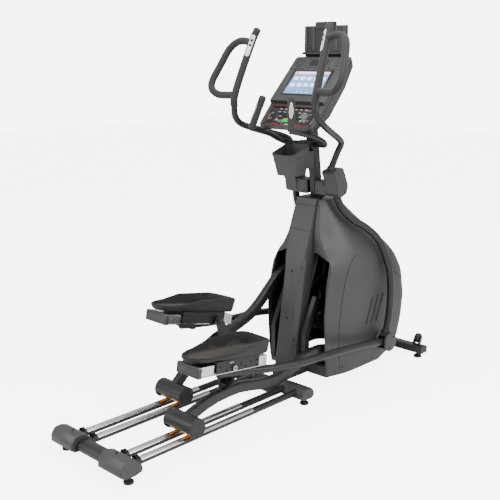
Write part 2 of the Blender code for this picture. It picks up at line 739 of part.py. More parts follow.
def build_pulse_bar(look):
    half = []
    points = [(0.3400, 0.0240, 1.222), (0.325, 0.065, 1.222), (0.300, 0.122, 1.226), (0.262, 0.146, 1.245),
              (0.200, 0.146, 1.272), (0.120, 0.138, 1.292), (0.053, 0.1255, 1.308)]
    path = curve(points, 4)
    for side in (1, -1):
        mirrored = [(x, side * y, z) for x, y, z in path]
        half.append(tube(mirrored, 0.0130, 12))
        low = (0.049, side * 0.127, 1.296)
        high = (0.0905, side * 0.091, 1.446)
        half.append(tube([low, high], 0.0095, 12))
    collar = box((0.300, -0.038, 1.204), (0.350, 0.038, 1.240))
    x = mast_x(1.222)
    cuts = [box((x - MAST_HALF[0] - 0.0045, -MAST_HALF[1] - 0.0005, 1.1), (x + 0.1,
        MAST_HALF[1] + 0.0005, 1.3))]
    part("pulse_handlebar", look["steel"], [collar] + half, cuts)
    for name, side in SIDES.items():
        low, high = np.array((0.0540, 0.1227, 1.3140)), np.array((0.0920, 0.0897, 1.4514))
        grip = tube([low, low + (high - low) * 0.04, high - (high - low) * 0.04, high], 0.0165, 14)
        bore = tube([low - (high - low), low + (high - low) * 0.972], 0.0100, 12)
        stem = tube(path[-6:], 0.0136, 12)
        part(f"pulse_grip_{name}", look["foam"], [grip], [bore, stem], side=side)


def handle_point(x, y, z):
    rx, rz = turned(x, z, HANDLE_SET)
    return rx, y, rz


def build_handlebar(look, rest, name, side):
    bar = [(-0.036, 0.128, 0.105), (-0.007, 0.143, 0.180), (0.005, 0.156, 0.222), (-0.030, 0.170, 0.248),
           (-0.130, 0.203, 0.290), (-0.238, 0.240, 0.336), (-0.285, 0.239, 0.381), (-0.291, 0.236, 0.433),
           (-0.281, 0.236, 0.486), (-0.222, 0.222, 0.612), (-0.160, 0.203, 0.736), (-0.138, 0.194, 0.774)]
    loop = [(-0.172, 0.206, 0.716), (-0.166, 0.250, 0.727), (-0.171, 0.295, 0.724), (-0.196, 0.331, 0.694),
            (-0.240, 0.358, 0.622), (-0.285, 0.379, 0.550), (-0.300, 0.370, 0.512), (-0.294, 0.338, 0.488),
            (-0.284, 0.290, 0.484), (-0.281, 0.240, 0.486)]
    shapes = [
        tube(curve([handle_point(*p) for p in bar], 3), STEM_RADIUS, 10),
        tube(curve([handle_point(*p) for p in loop], 3), GRIP_RADIUS, 10),
    ]
    grip = curve([handle_point(*p) for p in bar], 3)[21:]
    shapes.append(tube(grip, GRIP_RADIUS + 0.0004, 10))
    pivot = SWING_PIVOT
    angle = rest[name]["swing"]
    shapes = [moved(shape, angle, pivot) for shape in shapes]
    origin = (pivot[0], 0.0, pivot[1])
    pocket = moved(key_plate(0.0135, 0.0300, 0.0006), angle, pivot)
    part(f"handlebar_{name}", look["foam"], shapes, [pocket], origin=origin, side=side)
    build_hand_key(look, rest, name, side)


def hand_key_frame():
    """Where the thumb plate lies: its two ends on the bar, and the ways along, out of and across it."""
    low, high = np.array((-0.2000, 0.2150, 0.656)), np.array((-0.1530, 0.2005, 0.749))
    low, high = np.array(handle_point(*low)), np.array(handle_point(*high))
    along = (high - low) / np.linalg.norm(high - low)
    out = np.array((-0.78, -0.55, 0.30))
    out = out - along * out.dot(along)
    out /= np.linalg.norm(out)
    return low, high, along, out, np.cross(along, out)


def key_plate(deep, proud, grow):
    low, high, along, out, across = hand_key_frame()
    rings = []
    for depth in (deep, proud):
        ring = []
        for a, b in ((-1, -0.5), (-0.9, -1), (0.9, -1), (1, -0.5), (1, 0.5), (0.9, 1), (-0.9, 1), (-1,
            0.5)):
            point = (low + high) / 2 + (high - low) / 2 * a + along * grow * math.copysign(1, a)
            ring.append(tuple(point + across * (0.0105 + grow) * b + out * depth))
        rings.append(ring)
    return loft(rings)


def build_hand_key(look, rest, name, side):
    shape = moved(key_plate(0.0150, 0.0196, 0.0), rest[name]["swing"], SWING_PIVOT)
    low, high, along, out, across = hand_key_frame()
    centre = (low + high) / 2 + out * GRIP_RADIUS
    x, z = turned(centre[0], centre[2], rest[name]["swing"])
    origin = (x + SWING_PIVOT[0], side * centre[1], z + SWING_PIVOT[1])
    part(f"hand_key_{name}", look["white"], [shape], origin=origin, side=side)


def build_swing_arm(look, rest, name, side):
    ex, ez = ELBOW
    path = [(0.002, 0.130, -0.012), (0.010, 0.138, -0.055), (0.033, 0.152, -0.106), (0.082, 0.174, -0.158),
            (0.160, 0.208, -0.210), (0.222, 0.239, -0.276), (0.262, 0.260, -0.370), (0.288, 0.273, -0.470),
            (0.283, 0.283, -0.620), (0.262, ELBOW_Y - 0.002, -0.730),
            (ex + 0.004, ELBOW_Y - 0.002, ez + 0.030)]
    outline = [(-0.066, 0.080), (-0.060, 0.092), (0.000, 0.106), (0.008, 0.102), (0.046, 0.024),
        (0.048, 0.010),
               (0.042, -0.018), (0.034, -0.026), (0.000, -0.038), (-0.024, -0.034), (-0.034, -0.022),
                   (-0.036, 0.026)]
    block = prism(outline, BLOCK_Y[0], BLOCK_Y[1])
    sleeve = disc((0.0, 0.0), SLEEVE_RADIUS, MAST_HALF[1] + 0.0015, BLOCK_Y[0] + 0.02, 16)
    boss = disc((ex, ez), 0.047, ELBOW_Y - 0.022, ELBOW_Y + 0.040, 24)
    cuts = [disc((0.0, 0.0), AXLE_RADIUS + RUNNING, 0.0, 0.1505, 20)]
    shapes = [block, sleeve, tube(curve(path, 3), 0.0180, 12), boss]
    socket = curve([handle_point(-0.036, 0.128, 0.105), handle_point(-0.007, 0.143, 0.180)], 2)
    way = (socket[-1] - socket[0]) / np.linalg.norm(socket[-1] - socket[0])
    cuts.append(tube([socket[0] - way * 0.001, socket[0] + way * 0.1], STEM_RADIUS + 0.0006, 12))
    fork = beam((ex, ELBOW_Y + 0.007, ez), (ex - 0.14, ELBOW_Y + 0.007, ez + 0.016), 0.0410, 0.060)
    inner = disc((ex, ez), 0.0305, ELBOW_Y - 0.0135, ELBOW_Y + 0.0275, 20)
    cuts += [fork, inner]
    pivot = SWING_PIVOT
    angle = rest[name]["swing"]
    shapes = [moved(shape, angle, pivot) for shape in shapes]
    cuts = [moved(shape, angle, pivot) for shape in cuts]
    part(f"swing_arm_{name}", look["steel"], shapes, cuts, origin=(pivot[0], 0.0, pivot[1]), side=side)


def build_link(look, rest, name, side):
    link = rest["link"]
    path = [(-0.140, 0.166, -0.0435), (-0.060, 0.178, -0.0435), (0.030, 0.196, -0.0435), (0.130, 0.222,
        -0.0435),
            (0.300, 0.258, -0.034), (0.480, 0.282, -0.014), (0.640, ELBOW_Y + 0.002, -0.003),
            (0.780, ELBOW_Y + 0.007, 0.0), (link - 0.020, ELBOW_Y + 0.007, 0.0)]
    eye = disc((link, 0.0), 0.0275, ELBOW_Y - 0.0110, ELBOW_Y + 0.0250, 20)
    lean = rest[name]["link_lean"]
    pivot = rest[name]["pedal"]
    shapes = [tube(curve(path, 3), 0.0180, 12), eye]
    shapes.append(box((-0.150, 0.110, -0.0290), (-0.020, 0.185, -0.0228)))
    shapes = [moved(shape, lean, pivot) for shape in shapes]
    elbow = rest[name]["elbow"]
    origin = (elbow[0], side * (ELBOW_Y + 0.007), elbow[1])
    part(f"connecting_arm_{name}", look["steel"], shapes, origin=origin, side=side)
    rail = box((RAIL_BOX[0], RAIL_BOX_Y[0], -RAIL_BOX_HALF_HEIGHT),
               (RAIL_BOX[1], RAIL_BOX_Y[1], RAIL_BOX_HALF_HEIGHT))
    flange = box((RAIL_BOX[0] + 0.002, RAIL_BOX_Y[0] - 0.004, -RAIL_BOX_HALF_HEIGHT - 0.0002),
                 (RAIL_BOX[1] - 0.001, RAIL_BOX_Y[1] + 0.004, -RAIL_BOX_HALF_HEIGHT + 0.0035))
    cap = box((RAIL_BOX[0] - 0.012, RAIL_BOX_Y[0] - 0.006, -RAIL_BOX_HALF_HEIGHT - 0.002),
              (RAIL_BOX[0] + 0.004, RAIL_BOX_Y[1] + 0.006, RAIL_BOX_HALF_HEIGHT + 0.0005))
    bore = box((RAIL_BOX[1] - 0.060, RAIL_BOX_Y[0] + 0.004, -RAIL_BOX_HALF_HEIGHT + 0.006),
               (RAIL_BOX[1] + 0.010, RAIL_BOX_Y[1] - 0.004, RAIL_BOX_HALF_HEIGHT - 0.004))
    shapes = [moved(shape, lean, pivot) for shape in (rail, flange, cap)]
    part(f"pedal_rail_{name}", look["aluminium"], shapes, [moved(bore, lean, pivot)], origin=origin,
        side=side)


def build_carriage(look, rest, name, side):
    lean = rest[name]["link_lean"]
    pivot = rest[name]["pedal"]
    wall = 0.0045
    low, high = RAIL_BOX_Y[0] - 0.0045 - wall, RAIL_BOX_Y[1] + 0.0045 + wall
    top = RAIL_BOX_HALF_HEIGHT + 0.0010
    body = box((CARRIAGE_X[0], low, -RAIL_BOX_HALF_HEIGHT + 0.0045), (CARRIAGE_X[1], high, top + 0.0120))
    gap = box((CARRIAGE_X[0] - 0.1, RAIL_BOX_Y[0] - 0.0045, -0.1), (CARRIAGE_X[1] + 0.1,
        RAIL_BOX_Y[1] + 0.0045, top))
    knob = disc((-0.105, -0.002), 0.0135, high - 0.002, high + 0.007, 18)
    shapes = [moved(shape, lean, pivot) for shape in (body, knob)]
    origin = (pivot[0], side * PAD_Y, pivot[1])
    part(f"pedal_carriage_{name}", look["dark"], shapes, [moved(gap, lean, pivot)], origin=origin,
        side=side)
    build_footpad(look, rest, name, side, top + 0.0120)
    build_lever(look, rest, name, side)


def pad_ring(z, grow):
    """The foot pad's plan: a rounded heel, straight sides and a squarer toe."""
    rear, front = PAD_LENGTH
    rear, front = rear - grow, front + grow
    half = PAD_HALF_WIDTH + grow
    ring = []
    for k in range(9):
        a = math.pi / 2 + math.pi * k / 8
        ring.append((rear + 0.115 + 0.115 * math.cos(a), PAD_Y + half * 0.84 * math.sin(a), z))
    ring.append((rear + 0.22, PAD_Y - half, z))
    for k in range(5):
        a = -math.pi / 2 + math.pi / 2 * k / 4
        ring.append((front - 0.030 + 0.030 * math.cos(a), PAD_Y - half + 0.030 + 0.030 * math.sin(a), z))
    for k in range(5):
        a = math.pi / 2 * k / 4
        ring.append((front - 0.030 + 0.030 * math.cos(a), PAD_Y + half - 0.030 + 0.030 * math.sin(a), z))
    ring.append((rear + 0.22, PAD_Y + half, z))
    return ring


def rim_height(x, y):
    """How high the pad's wall stands: low at the heel, high round the toe."""
    rise = np.interp(x, [-0.335, -0.280, -0.190, -0.080, 0.010, 0.108], [0.012, 0.014, 0.026, 0.056,
        0.060, 0.052])
    return float(rise)


def build_footpad(look, rest, name, side, base):
    lean = rest[name]["link_lean"]
    pivot = rest[name]["pedal"]
    floor = base + CLEAR
    low = pad_ring(floor, -0.010)
    wide = [(x, y, floor + 0.012) for x, y, _ in pad_ring(0.0, 0.0)]
    rim = [(x, y, floor + 0.012 + rim_height(x, y)) for x, y, _ in pad_ring(0.0, 0.003)]
    lip = [(x, y, floor + 0.012 + rim_height(x, y)) for x, y, _ in pad_ring(0.0, -0.002)]
    inner = [(x, y, floor + 0.0125) for x, y, _ in pad_ring(0.0, -0.0050)]
    dish = [(x, y, floor + 0.009) for x, y, _ in pad_ring(0.0, -0.0150)]
    shape = moved(loft([low, wide, rim, lip, inner, dish]), lean, pivot)
    origin = (pivot[0], side * PAD_Y, pivot[1])
    part(f"footpad_{name}", look["rubber"], [shape], origin=origin, side=side)


def build_lever(look, rest, name, side):
    lean = rest[name]["link_lean"]
    pivot = rest[name]["pedal"]
    outline = [(-0.235, -0.0250), (-0.120, -0.0250), (-0.110, -0.034), (-0.125, -0.047), (-0.145,
        -0.046), (-0.225, -0.030)]
    shape = moved(prism(outline, 0.088, 0.108), lean, pivot)
    x, z = turned(-0.228, -0.0275, lean)
    origin = (pivot[0] + x, side * 0.098, pivot[1] + z)
    part(f"release_lever_{name}", look["dark"], [shape], origin=origin, side=side)


def build_track_arm(look, rest, name, side):
    lean = rest[name]["lean"]
    wheel = rest[name]["wheel"]
    spine = [(0.0, 0.012), (0.070, 0.034), (0.180, 0.058), (0.330, 0.060), (0.480, 0.030), (0.590, 0.022),
             (0.700, 0.044), (0.810, 0.074), (0.920, 0.076), (1.030, 0.044), (ARM_LENGTH, 0.0)]
    path = curve([(x, ARM_Y, z) for x, z in spine], 2)
    bar = tube(path, 0.0, 12, flat=(0.0185, 0.0235))
    eye = disc((ARM_LENGTH, 0.0), 0.029, ARM_Y - 0.0205, ARM_Y + 0.0205, 20)
    bx, bz = PEDAL_PIVOT
    plate = [(bx - 0.045, 0.040), (bx + 0.045, 0.036), (bx + 0.021, bz - 0.010)]
    plate += [(bx + 0.022 * math.cos(a),
        bz + 0.022 * math.sin(a)) for a in [math.pi * k / 6 for k in range(7)]]
    plate += [(bx - 0.021, bz - 0.010)]
    bracket = prism(plate, 0.0585, 0.0690)
    lug = box((bx - 0.038, 0.060, 0.043), (bx + 0.038, ARM_Y, 0.072))
    washer = disc(PEDAL_PIVOT, 0.013, 0.0530, 0.0600, 16)
    shapes = [moved(shape, lean, wheel) for shape in (bar, eye, bracket, lug, washer)]
    housing, hollow = housing_shapes()
    shapes.append(moved(housing, 0.0, wheel))
    cuts = [moved(hollow, 0.0, wheel)]
    cuts.append(moved(disc((0.0, 0.0), 0.0062 + RUNNING, 0.01, 0.2225, 16), 0.0, wheel))
    for y in RAIL_Y:
        cuts.append(moved(disc((0.0, 0.0), 0.0418, y - 0.0170, y + 0.0170, 24), 0.0, wheel))
    cuts.append(moved(disc((ARM_LENGTH, 0.0), 0.0130, 0.0, 0.3, 16), lean, wheel))
    part(f"track_arm_{name}", look["steel"], shapes, cuts, origin=(wheel[0], side * ARM_Y, wheel[1]),
        side=side)


def housing_shapes():
    low, high = ARM_Y - HOUSING_HALF, ARM_Y + HOUSING_HALF
    body = disc((0.0, 0.0), HOUSING_RADIUS, low, high, 28)
    hollow = prism([(-0.06, -0.06), (0.06, -0.06), (0.06, -0.012), (0.026, -0.008), (-0.026, -0.008),
        (-0.06, -0.012)],
                   low + 0.005, high - 0.005)
    return body, hollow


def build_wheelset(look, rest, name, side):
    wheel = rest[name]["wheel"]
    shapes = [disc(wheel, 0.0062, 0.0680, 0.2220, 16)]
    outer = RAIL_RADIUS + CLEAR + TRACK_THICKNESS
    for y in RAIL_Y:
        stations = [(y - 0.0150, 0.0290)]
        for t in (-0.0140, -0.0110, -0.0070, 0.0, 0.0070, 0.0110, 0.0140):
            drop = outer - math.sqrt(outer**2 - min(abs(t), 0.0080) ** 2)
            stations.append((y + t, WHEEL_RADIUS + 0.7 * min(drop, 0.0018)))
        stations.append((y + 0.0150, 0.0290))
        shapes.append(spool(wheel, stations, 28))
    origin = (wheel[0], side * ARM_Y, wheel[1])
    part(f"wheelset_{name}", look["orange"], shapes, origin=origin, side=side)


def build():
    clear_scene()
    look = looks()
    rest = linkage()
    build_rail_frame(look)
    build_tracks(look)
    build_end_caps(look)
    build_feet(look)
    build_drive_frame(look)
    build_transport_wheels(look)
    build_crank(look, rest)
    build_flywheel(look)
    build_belt(look)
    build_side_covers(look)
    build_spine(look)
    build_mast(look)
    build_console(look)
    build_tablet_rack(look)
    build_cup_holder(look)
    build_pulse_bar(look)
    for name, side in SIDES.items():
        build_handlebar(look, rest, name, side)
        build_swing_arm(look, rest, name, side)
        build_link(look, rest, name, side)
        build_carriage(look, rest, name, side)
        build_track_arm(look, rest, name, side)
        build_wheelset(look, rest, name, side)


build()
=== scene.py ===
import json
import math

import bmesh
import bpy
from mathutils import Matrix, Vector

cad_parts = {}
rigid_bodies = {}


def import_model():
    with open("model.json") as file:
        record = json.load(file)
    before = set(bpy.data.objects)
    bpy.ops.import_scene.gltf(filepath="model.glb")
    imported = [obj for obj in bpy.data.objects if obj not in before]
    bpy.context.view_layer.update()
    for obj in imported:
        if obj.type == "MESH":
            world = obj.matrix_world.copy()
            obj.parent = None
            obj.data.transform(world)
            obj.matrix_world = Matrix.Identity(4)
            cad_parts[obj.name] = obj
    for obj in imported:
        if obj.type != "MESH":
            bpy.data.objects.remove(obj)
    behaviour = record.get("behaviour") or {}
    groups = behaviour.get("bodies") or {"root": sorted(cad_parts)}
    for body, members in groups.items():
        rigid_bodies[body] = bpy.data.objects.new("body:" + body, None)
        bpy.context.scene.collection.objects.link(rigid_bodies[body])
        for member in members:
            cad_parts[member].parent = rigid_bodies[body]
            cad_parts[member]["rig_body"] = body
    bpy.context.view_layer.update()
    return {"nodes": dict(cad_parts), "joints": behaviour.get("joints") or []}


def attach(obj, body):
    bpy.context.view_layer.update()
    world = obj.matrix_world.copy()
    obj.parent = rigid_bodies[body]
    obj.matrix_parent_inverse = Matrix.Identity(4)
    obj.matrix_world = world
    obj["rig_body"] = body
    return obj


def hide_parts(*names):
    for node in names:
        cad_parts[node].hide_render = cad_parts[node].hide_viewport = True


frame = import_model()
cad = frame["nodes"]
joint = {j["name"]: j for j in frame["joints"]}
sides = {"left": 1.0, "right": -1.0}
print("frame loaded:", len(cad), "nodes")


def toLinear(hexColour):
    out = []
    for k in (1, 3, 5):
        c = int(hexColour[k:k + 2], 16) / 255
        out.append(c / 12.92 if c <= 0.04045 else ((c + 0.055) / 1.055) ** 2.4)
    return (*out, 1.0)


def addNode(tree, kind, settings=None, links=None):
    node = tree.nodes.new(kind)
    for key, value in (settings or {}).items():
        if isinstance(key, int) or key in node.inputs:
            node.inputs[key].default_value = value
        else:
            setattr(node, key, value)
    for key, socket in (links or {}).items():
        tree.links.new(socket, node.inputs[key])
    return node


def makeFinish(name, look):
    material = bpy.data.materials.new(name)
    material.use_nodes = True
    tree = material.node_tree
    tree.nodes.clear()
    place = addNode(tree, "ShaderNodeTexCoord").outputs["Object"]
    spread = addNode(tree, "ShaderNodeMapping", {"Scale": look.get("stretch", (1, 1, 1))},
                     {"Vector": place}).outputs[0]
    patchSizes = {"Scale": 1000 / look["patchMm"], "Detail": 3.0}
    patches = addNode(tree, "ShaderNodeTexNoise", patchSizes, {"Vector": place}).outputs[0]
    grainSizes = {"Scale": 1000 / look["grainMm"], "Detail": 4.0, "Roughness": 0.6}
    grain = addNode(tree, "ShaderNodeTexNoise", grainSizes, {"Vector": spread}).outputs[0]
    share = look.get("grainInColour", 0.35)
    broad = addNode(tree, "ShaderNodeMath", {"operation": "MULTIPLY", 1: 1 - share}, {0: patches}).outputs[0]
    blend = addNode(tree, "ShaderNodeMath", {"operation": "MULTIPLY_ADD", 1: share},
                    {0: grain, 2: broad}).outputs[0]
    ramp = addNode(tree, "ShaderNodeValToRGB", {}, {"Fac": blend})
    ramp.color_ramp.elements[0].position = 0.3
    ramp.color_ramp.elements[0].color = toLinear(look["dark"])
    ramp.color_ramp.elements[1].position = 0.7
    ramp.color_ramp.elements[1].color = toLinear(look["light"])
    low, high = look["roughness"]
    dull = addNode(tree, "ShaderNodeMapRange", {"From Min": 0.3, "From Max": 0.7, "To Min": low,
                                                "To Max": high},
                   {"Value": blend}).outputs[0]
    bump = addNode(tree, "ShaderNodeBump", {"Strength": look.get("bump", 0.25),
                                            "Distance": look.get("bumpMm", 0.1) / 1000},
                   {"Height": grain}).outputs[0]
    settings = {"Metallic": look.get("metallic", 0.0), "Coat Weight": look.get("coat", 0.0),
                "Coat Roughness": 0.12}
    if not look.get("metallic"):
        settings["IOR"] = look.get("ior", 1.5)
    if look.get("sheen"):
        settings["Sheen Weight"] = look["sheen"]
    if look.get("glow"):
        settings["Emission Strength"] = look["glow"]
    links = {"Base Color": ramp.outputs[0], "Roughness": dull, "Normal": bump}
    if look.get("glow"):
        links["Emission Color"] = ramp.outputs[0]
    body = addNode(tree, "ShaderNodeBsdfPrincipled", settings, links)
    addNode(tree, "ShaderNodeOutputMaterial", {}, {"Surface": body.outputs[0]})
    return material


# moulded grains are drawn about three times their real size, because the real 0.3 mm grain is too fine
# to show
finishes = {
    # powder coat over steel tube: a soft satin with a faint orange-peel ripple
    "powderCoatBlack": {"dark": "#181716", "light": "#201e1d", "roughness": (0.34, 0.44), "patchMm": 60,
                        "grainMm": 1.6,
                        "bump": 0.18, "bumpMm": 0.12, "ior": 1.5, "grainInColour": 0.25},
    # moulded ABS with a spark-eroded grain: charcoal, low gloss, a little lighter where it is rubbed
    "mouldedAbsCharcoal": {"dark": "#2f3031", "light": "#393a3a", "roughness": (0.42, 0.54), "patchMm": 120,
                           "grainMm": 1.1,
                           "bump": 0.3, "bumpMm": 0.12, "ior": 1.53, "grainInColour": 0.3},
    "mouldedAbsDark": {"dark": "#1a1a1a", "light": "#222222", "roughness": (0.42, 0.55), "patchMm": 90,
                       "grainMm": 1.1,
                       "bump": 0.3, "bumpMm": 0.12, "ior": 1.53},
    # glass-filled nylon: near black, dull, coarse short fibres under the skin
    "filledNylonBlack": {"dark": "#121212", "light": "#1b1b1b", "roughness": (0.5, 0.62), "patchMm": 40,
                         "grainMm": 0.9,
                         "bump": 0.35, "bumpMm": 0.12, "ior": 1.53},
    # closed-cell nitrile foam sleeve: open pores on the skin, no gloss
    "nitrileFoam": {"dark": "#1d1b1a", "light": "#272422", "roughness": (0.62, 0.8), "patchMm": 30,
                    "grainMm": 1.3,
                    "bump": 0.6, "bumpMm": 0.35, "sheen": 0.15, "ior": 1.45, "grainInColour": 0.55},
    # extruded aluminium, bright rolled: fine draw lines run along the machine
    "brightAluminium": {"dark": "#c9cacb", "light": "#e9eaeb", "roughness": (0.16, 0.28), "metallic": 1.0,
                        "patchMm": 45,
                        "grainMm": 0.7, "stretch": (0.03, 1.0, 1.0), "bump": 0.12, "bumpMm": 0.05,
                        "grainInColour": 0.6},
    # brushed stainless steel of the pulse plates
    "brushedSteel": {"dark": "#c4c2bf", "light": "#e6e4e0", "roughness": (0.18, 0.3), "metallic": 1.0,
                     "patchMm": 12,
                     "grainMm": 0.5, "stretch": (1.0, 1.0, 0.05), "bump": 0.15, "bumpMm": 0.04,
                     "grainInColour": 0.6},
    # injection-moulded thermoplastic rubber of the foot pads
    "mouldedRubber": {"dark": "#1f1e1d", "light": "#292827", "roughness": (0.55, 0.7), "patchMm": 50,
                      "grainMm": 1.4,
                      "bump": 0.4, "bumpMm": 0.2, "ior": 1.48},
    "ribbedInsert": {"dark": "#332e2a", "light": "#453e39", "roughness": (0.6, 0.75), "patchMm": 35,
                     "grainMm": 1.6,
                     "bump": 0.5, "bumpMm": 0.25, "ior": 1.48, "grainInColour": 0.5},
    # cast polyurethane tyre: slightly waxy orange
    "castPolyurethane": {"dark": "#c9760a", "light": "#ee9a18", "roughness": (0.3, 0.42), "patchMm": 25,
                         "grainMm": 2.5,
                         "bump": 0.1, "bumpMm": 0.08, "ior": 1.5},
    "castIron": {"dark": "#3a3a3b", "light": "#565657", "roughness": (0.5, 0.65), "metallic": 0.9,
                 "patchMm": 30,
                 "grainMm": 1.8, "bump": 0.6, "bumpMm": 0.3},
    "zincScrew": {"dark": "#9a9a98", "light": "#c6c5c2", "roughness": (0.25, 0.4), "metallic": 1.0,
                  "patchMm": 4,
                  "grainMm": 0.8, "bump": 0.1, "bumpMm": 0.03},
    "blackOxideScrew": {"dark": "#0c0c0c", "light": "#191919", "roughness": (0.35, 0.5), "metallic": 0.6,
                        "patchMm": 5,
                        "grainMm": 0.8, "bump": 0.1, "bumpMm": 0.03},
    "seamShadow": {"dark": "#0a0a0a", "light": "#141414", "roughness": (0.7, 0.85), "patchMm": 20,
                   "grainMm": 1.0,
                   "bump": 0.2, "bumpMm": 0.05},
    # lit liquid-crystal panel behind a gloss cover
    "litPanelBlue": {"dark": "#5f86bd", "light": "#84a5d6", "roughness": (0.08, 0.14), "patchMm": 90,
                     "grainMm": 3.0,
                     "bump": 0.0, "ior": 1.52, "glow": 0.55, "coat": 0.6, "grainInColour": 0.1},
    "litTileWhite": {"dark": "#dfe8f4", "light": "#ffffff", "roughness": (0.1, 0.16), "patchMm": 14,
                     "grainMm": 3.0,
                     "bump": 0.0, "ior": 1.52, "glow": 0.7, "grainInColour": 0.1},
    "litBarRed": {"dark": "#cf3a46", "light": "#e8606a", "roughness": (0.1, 0.16), "patchMm": 20,
                  "grainMm": 3.0,
                  "bump": 0.0, "ior": 1.52, "glow": 0.5, "grainInColour": 0.1},
    # printed polyester keypad film: dark, slightly glossy
    "keypadFilm": {"dark": "#151617", "light": "#1c1d1f", "roughness": (0.25, 0.36), "patchMm": 40,
                   "grainMm": 1.0,
                   "bump": 0.15, "bumpMm": 0.05, "coat": 0.2},
    "printedRed": {"dark": "#7c1518", "light": "#962022", "roughness": (0.35, 0.45), "patchMm": 15,
                   "grainMm": 1.0,
                   "bump": 0.1, "bumpMm": 0.02},
    "printedGrey": {"dark": "#a7a9ab", "light": "#d2d3d4", "roughness": (0.35, 0.45), "patchMm": 8,
                    "grainMm": 1.0,
                    "bump": 0.1, "bumpMm": 0.02},
    # the start key's glow is painted light: a faint glow added on top of the key's own green
    "greenKey": {"dark": "#17a02a", "light": "#33d040", "roughness": (0.3, 0.4), "patchMm": 8, "grainMm": 1.0,
                 "bump": 0.1, "bumpMm": 0.03, "glow": 0.15},
    "redKey": {"dark": "#a8292c", "light": "#c43c3c", "roughness": (0.3, 0.4), "patchMm": 8, "grainMm": 1.0,
               "bump": 0.1, "bumpMm": 0.03},
    "whiteKeyPlate": {"dark": "#dcdcdc", "light": "#f2f2f2", "roughness": (0.3, 0.4), "patchMm": 14,
                      "grainMm": 1.0,
                      "bump": 0.1, "bumpMm": 0.03},
    "paleFloor": {"dark": "#f4f4f4", "light": "#fafafa", "roughness": (0.5, 0.6), "patchMm": 900,
                  "grainMm": 40.0,
                  "bump": 0.0},
}
finish = {name: makeFinish(name, look) for name, look in finishes.items()}
print("finishes made:", len(finish))


def putIn(name, mesh, material, body, sharpAngle=35, edge=0.0):
    mesh.materials.clear()
    mesh.materials.append(material)
    mesh.shade_smooth()
    mesh.set_sharp_from_angle(angle=math.radians(sharpAngle))
    piece = bpy.data.objects.new(name, mesh)
    bpy.context.scene.collection.objects.link(piece)
    if edge:
        rounding = piece.modifiers.new("roundedEdge", "BEVEL")
        rounding.width = edge
        rounding.segments = 2
        rounding.limit_method = "ANGLE"
        rounding.angle_limit = math.radians(sharpAngle)
        rounding.harden_normals = True
        rounding.use_clamp_overlap = True
    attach(piece, body)
    return piece


def makePiece(name, points, faces, material, body, sharpAngle=35, edge=0.0):
    mesh = bpy.data.meshes.new(name)
    mesh.from_pydata([tuple(p) for p in points], [], faces)
    work = bmesh.new()
    work.from_mesh(mesh)
    bmesh.ops.remove_doubles(work, verts=work.verts, dist=1e-6)
    bmesh.ops.recalc_face_normals(work, faces=work.faces)
    work.to_mesh(mesh)
    work.free()
    return putIn(name, mesh, material, body, sharpAngle, edge)


def softCopy(node, material, edge=0.0012, sharpAngle=33, name=None):
    # the node's own shape, with its facets blended and its moulded edges rounded
    work = bmesh.new()
    work.from_mesh(cad[node].data)
    bmesh.ops.remove_doubles(work, verts=work.verts, dist=2e-5)
    bmesh.ops.dissolve_limit(work, angle_limit=math.radians(0.6), verts=work.verts, edges=work.edges)
    mesh = bpy.data.meshes.new(name or node + "Smooth")
    work.to_mesh(mesh)
    work.free()
    if "custom_normal" in mesh.attributes:
        mesh.attributes.remove(mesh.attributes["custom_normal"])
    body = cad[node].get("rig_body")
    piece = putIn(name or node + "Smooth", mesh, material, body, sharpAngle, edge)
    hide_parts(node)
    return piece


def loftFaces(rings, count, closedEnds=True):
    faces = []
    for k in range(rings - 1):
        for i in range(count):
            j = (i + 1) % count
            faces.append((k * count + i, k * count + j, (k + 1) * count + j, (k + 1) * count + i))
    if closedEnds:
        faces.append(tuple(reversed(range(count))))
        faces.append(tuple(range((rings - 1) * count, rings * count)))
    return faces


def between(a, b, c, d, t):
    # a smooth step from b to c, leaving and arriving the way a and d lead
    return 0.5 * ((2 * b) + (c - a) * t + (2 * a - 5 * b + 4 * c - d) * t * t
                  + (3 * b - a - 3 * c + d) * t ** 3)


def flowing(points, steps):
    # a smooth path through the points
    pts = [Vector(p) for p in points]
    pts = [pts[0] * 2 - pts[1]] + pts + [pts[-1] * 2 - pts[-2]]
    out = []
    for k in range(1, len(pts) - 2):
        a, b, c, d = pts[k - 1:k + 3]
        for s in range(steps):
            t = s / steps
            out.append(between(a, b, c, d, t))
    out.append(pts[-2])
    return out


def sweep(path, radius, around=24, flat=None, domed=(0.0, 0.0)):
    # a tube along the path, with its two ends rounded off by the given lengths
    path = [Vector(p) for p in path]
    ways = []
    for k in range(len(path)):
        ahead = path[min(k + 1, len(path) - 1)] - path[max(k - 1, 0)]
        ways.append(ahead.normalized())
    side = Vector((0, 1, 0)) - ways[0] * ways[0].y
    if side.length < 0.2:
        side = Vector((0, 0, 1)) - ways[0] * ways[0].z
    side.normalize()
    stations = []
    for k, (p, way) in enumerate(zip(path, ways)):
        side = (side - way * side.dot(way)).normalized()
        stations.append((p, way, side.copy(), 1.0))
    if domed[0]:
        p, way, across, _ = stations[0]
        caps = [(p - way * domed[0] * math.sin(a), way, across, math.cos(a)) for a in (1.45, 1.2, 0.85, 0.45)]
        stations = caps + stations
    if domed[1]:
        p, way, across, _ = stations[-1]
        caps = [(p + way * domed[1] * math.sin(a), way, across, math.cos(a)) for a in (0.45, 0.85, 1.2, 1.45)]
        stations = stations + caps
    points = []
    for p, way, across, grow in stations:
        up = way.cross(across)
        for i in range(around):
            a = 2 * math.pi * i / around
            if flat:
                # a box section with rounded corners
                c, s = math.cos(a), math.sin(a)
                power = 0.38
                x = math.copysign(abs(c) ** power, c) * flat[0]
                y = math.copysign(abs(s) ** power, s) * flat[1]
                points.append(p + across * x * grow + up * y * grow)
            else:
                points.append(p + (across * math.cos(a) + up * math.sin(a)) * radius * grow)
    return points, loftFaces(len(stations), around)


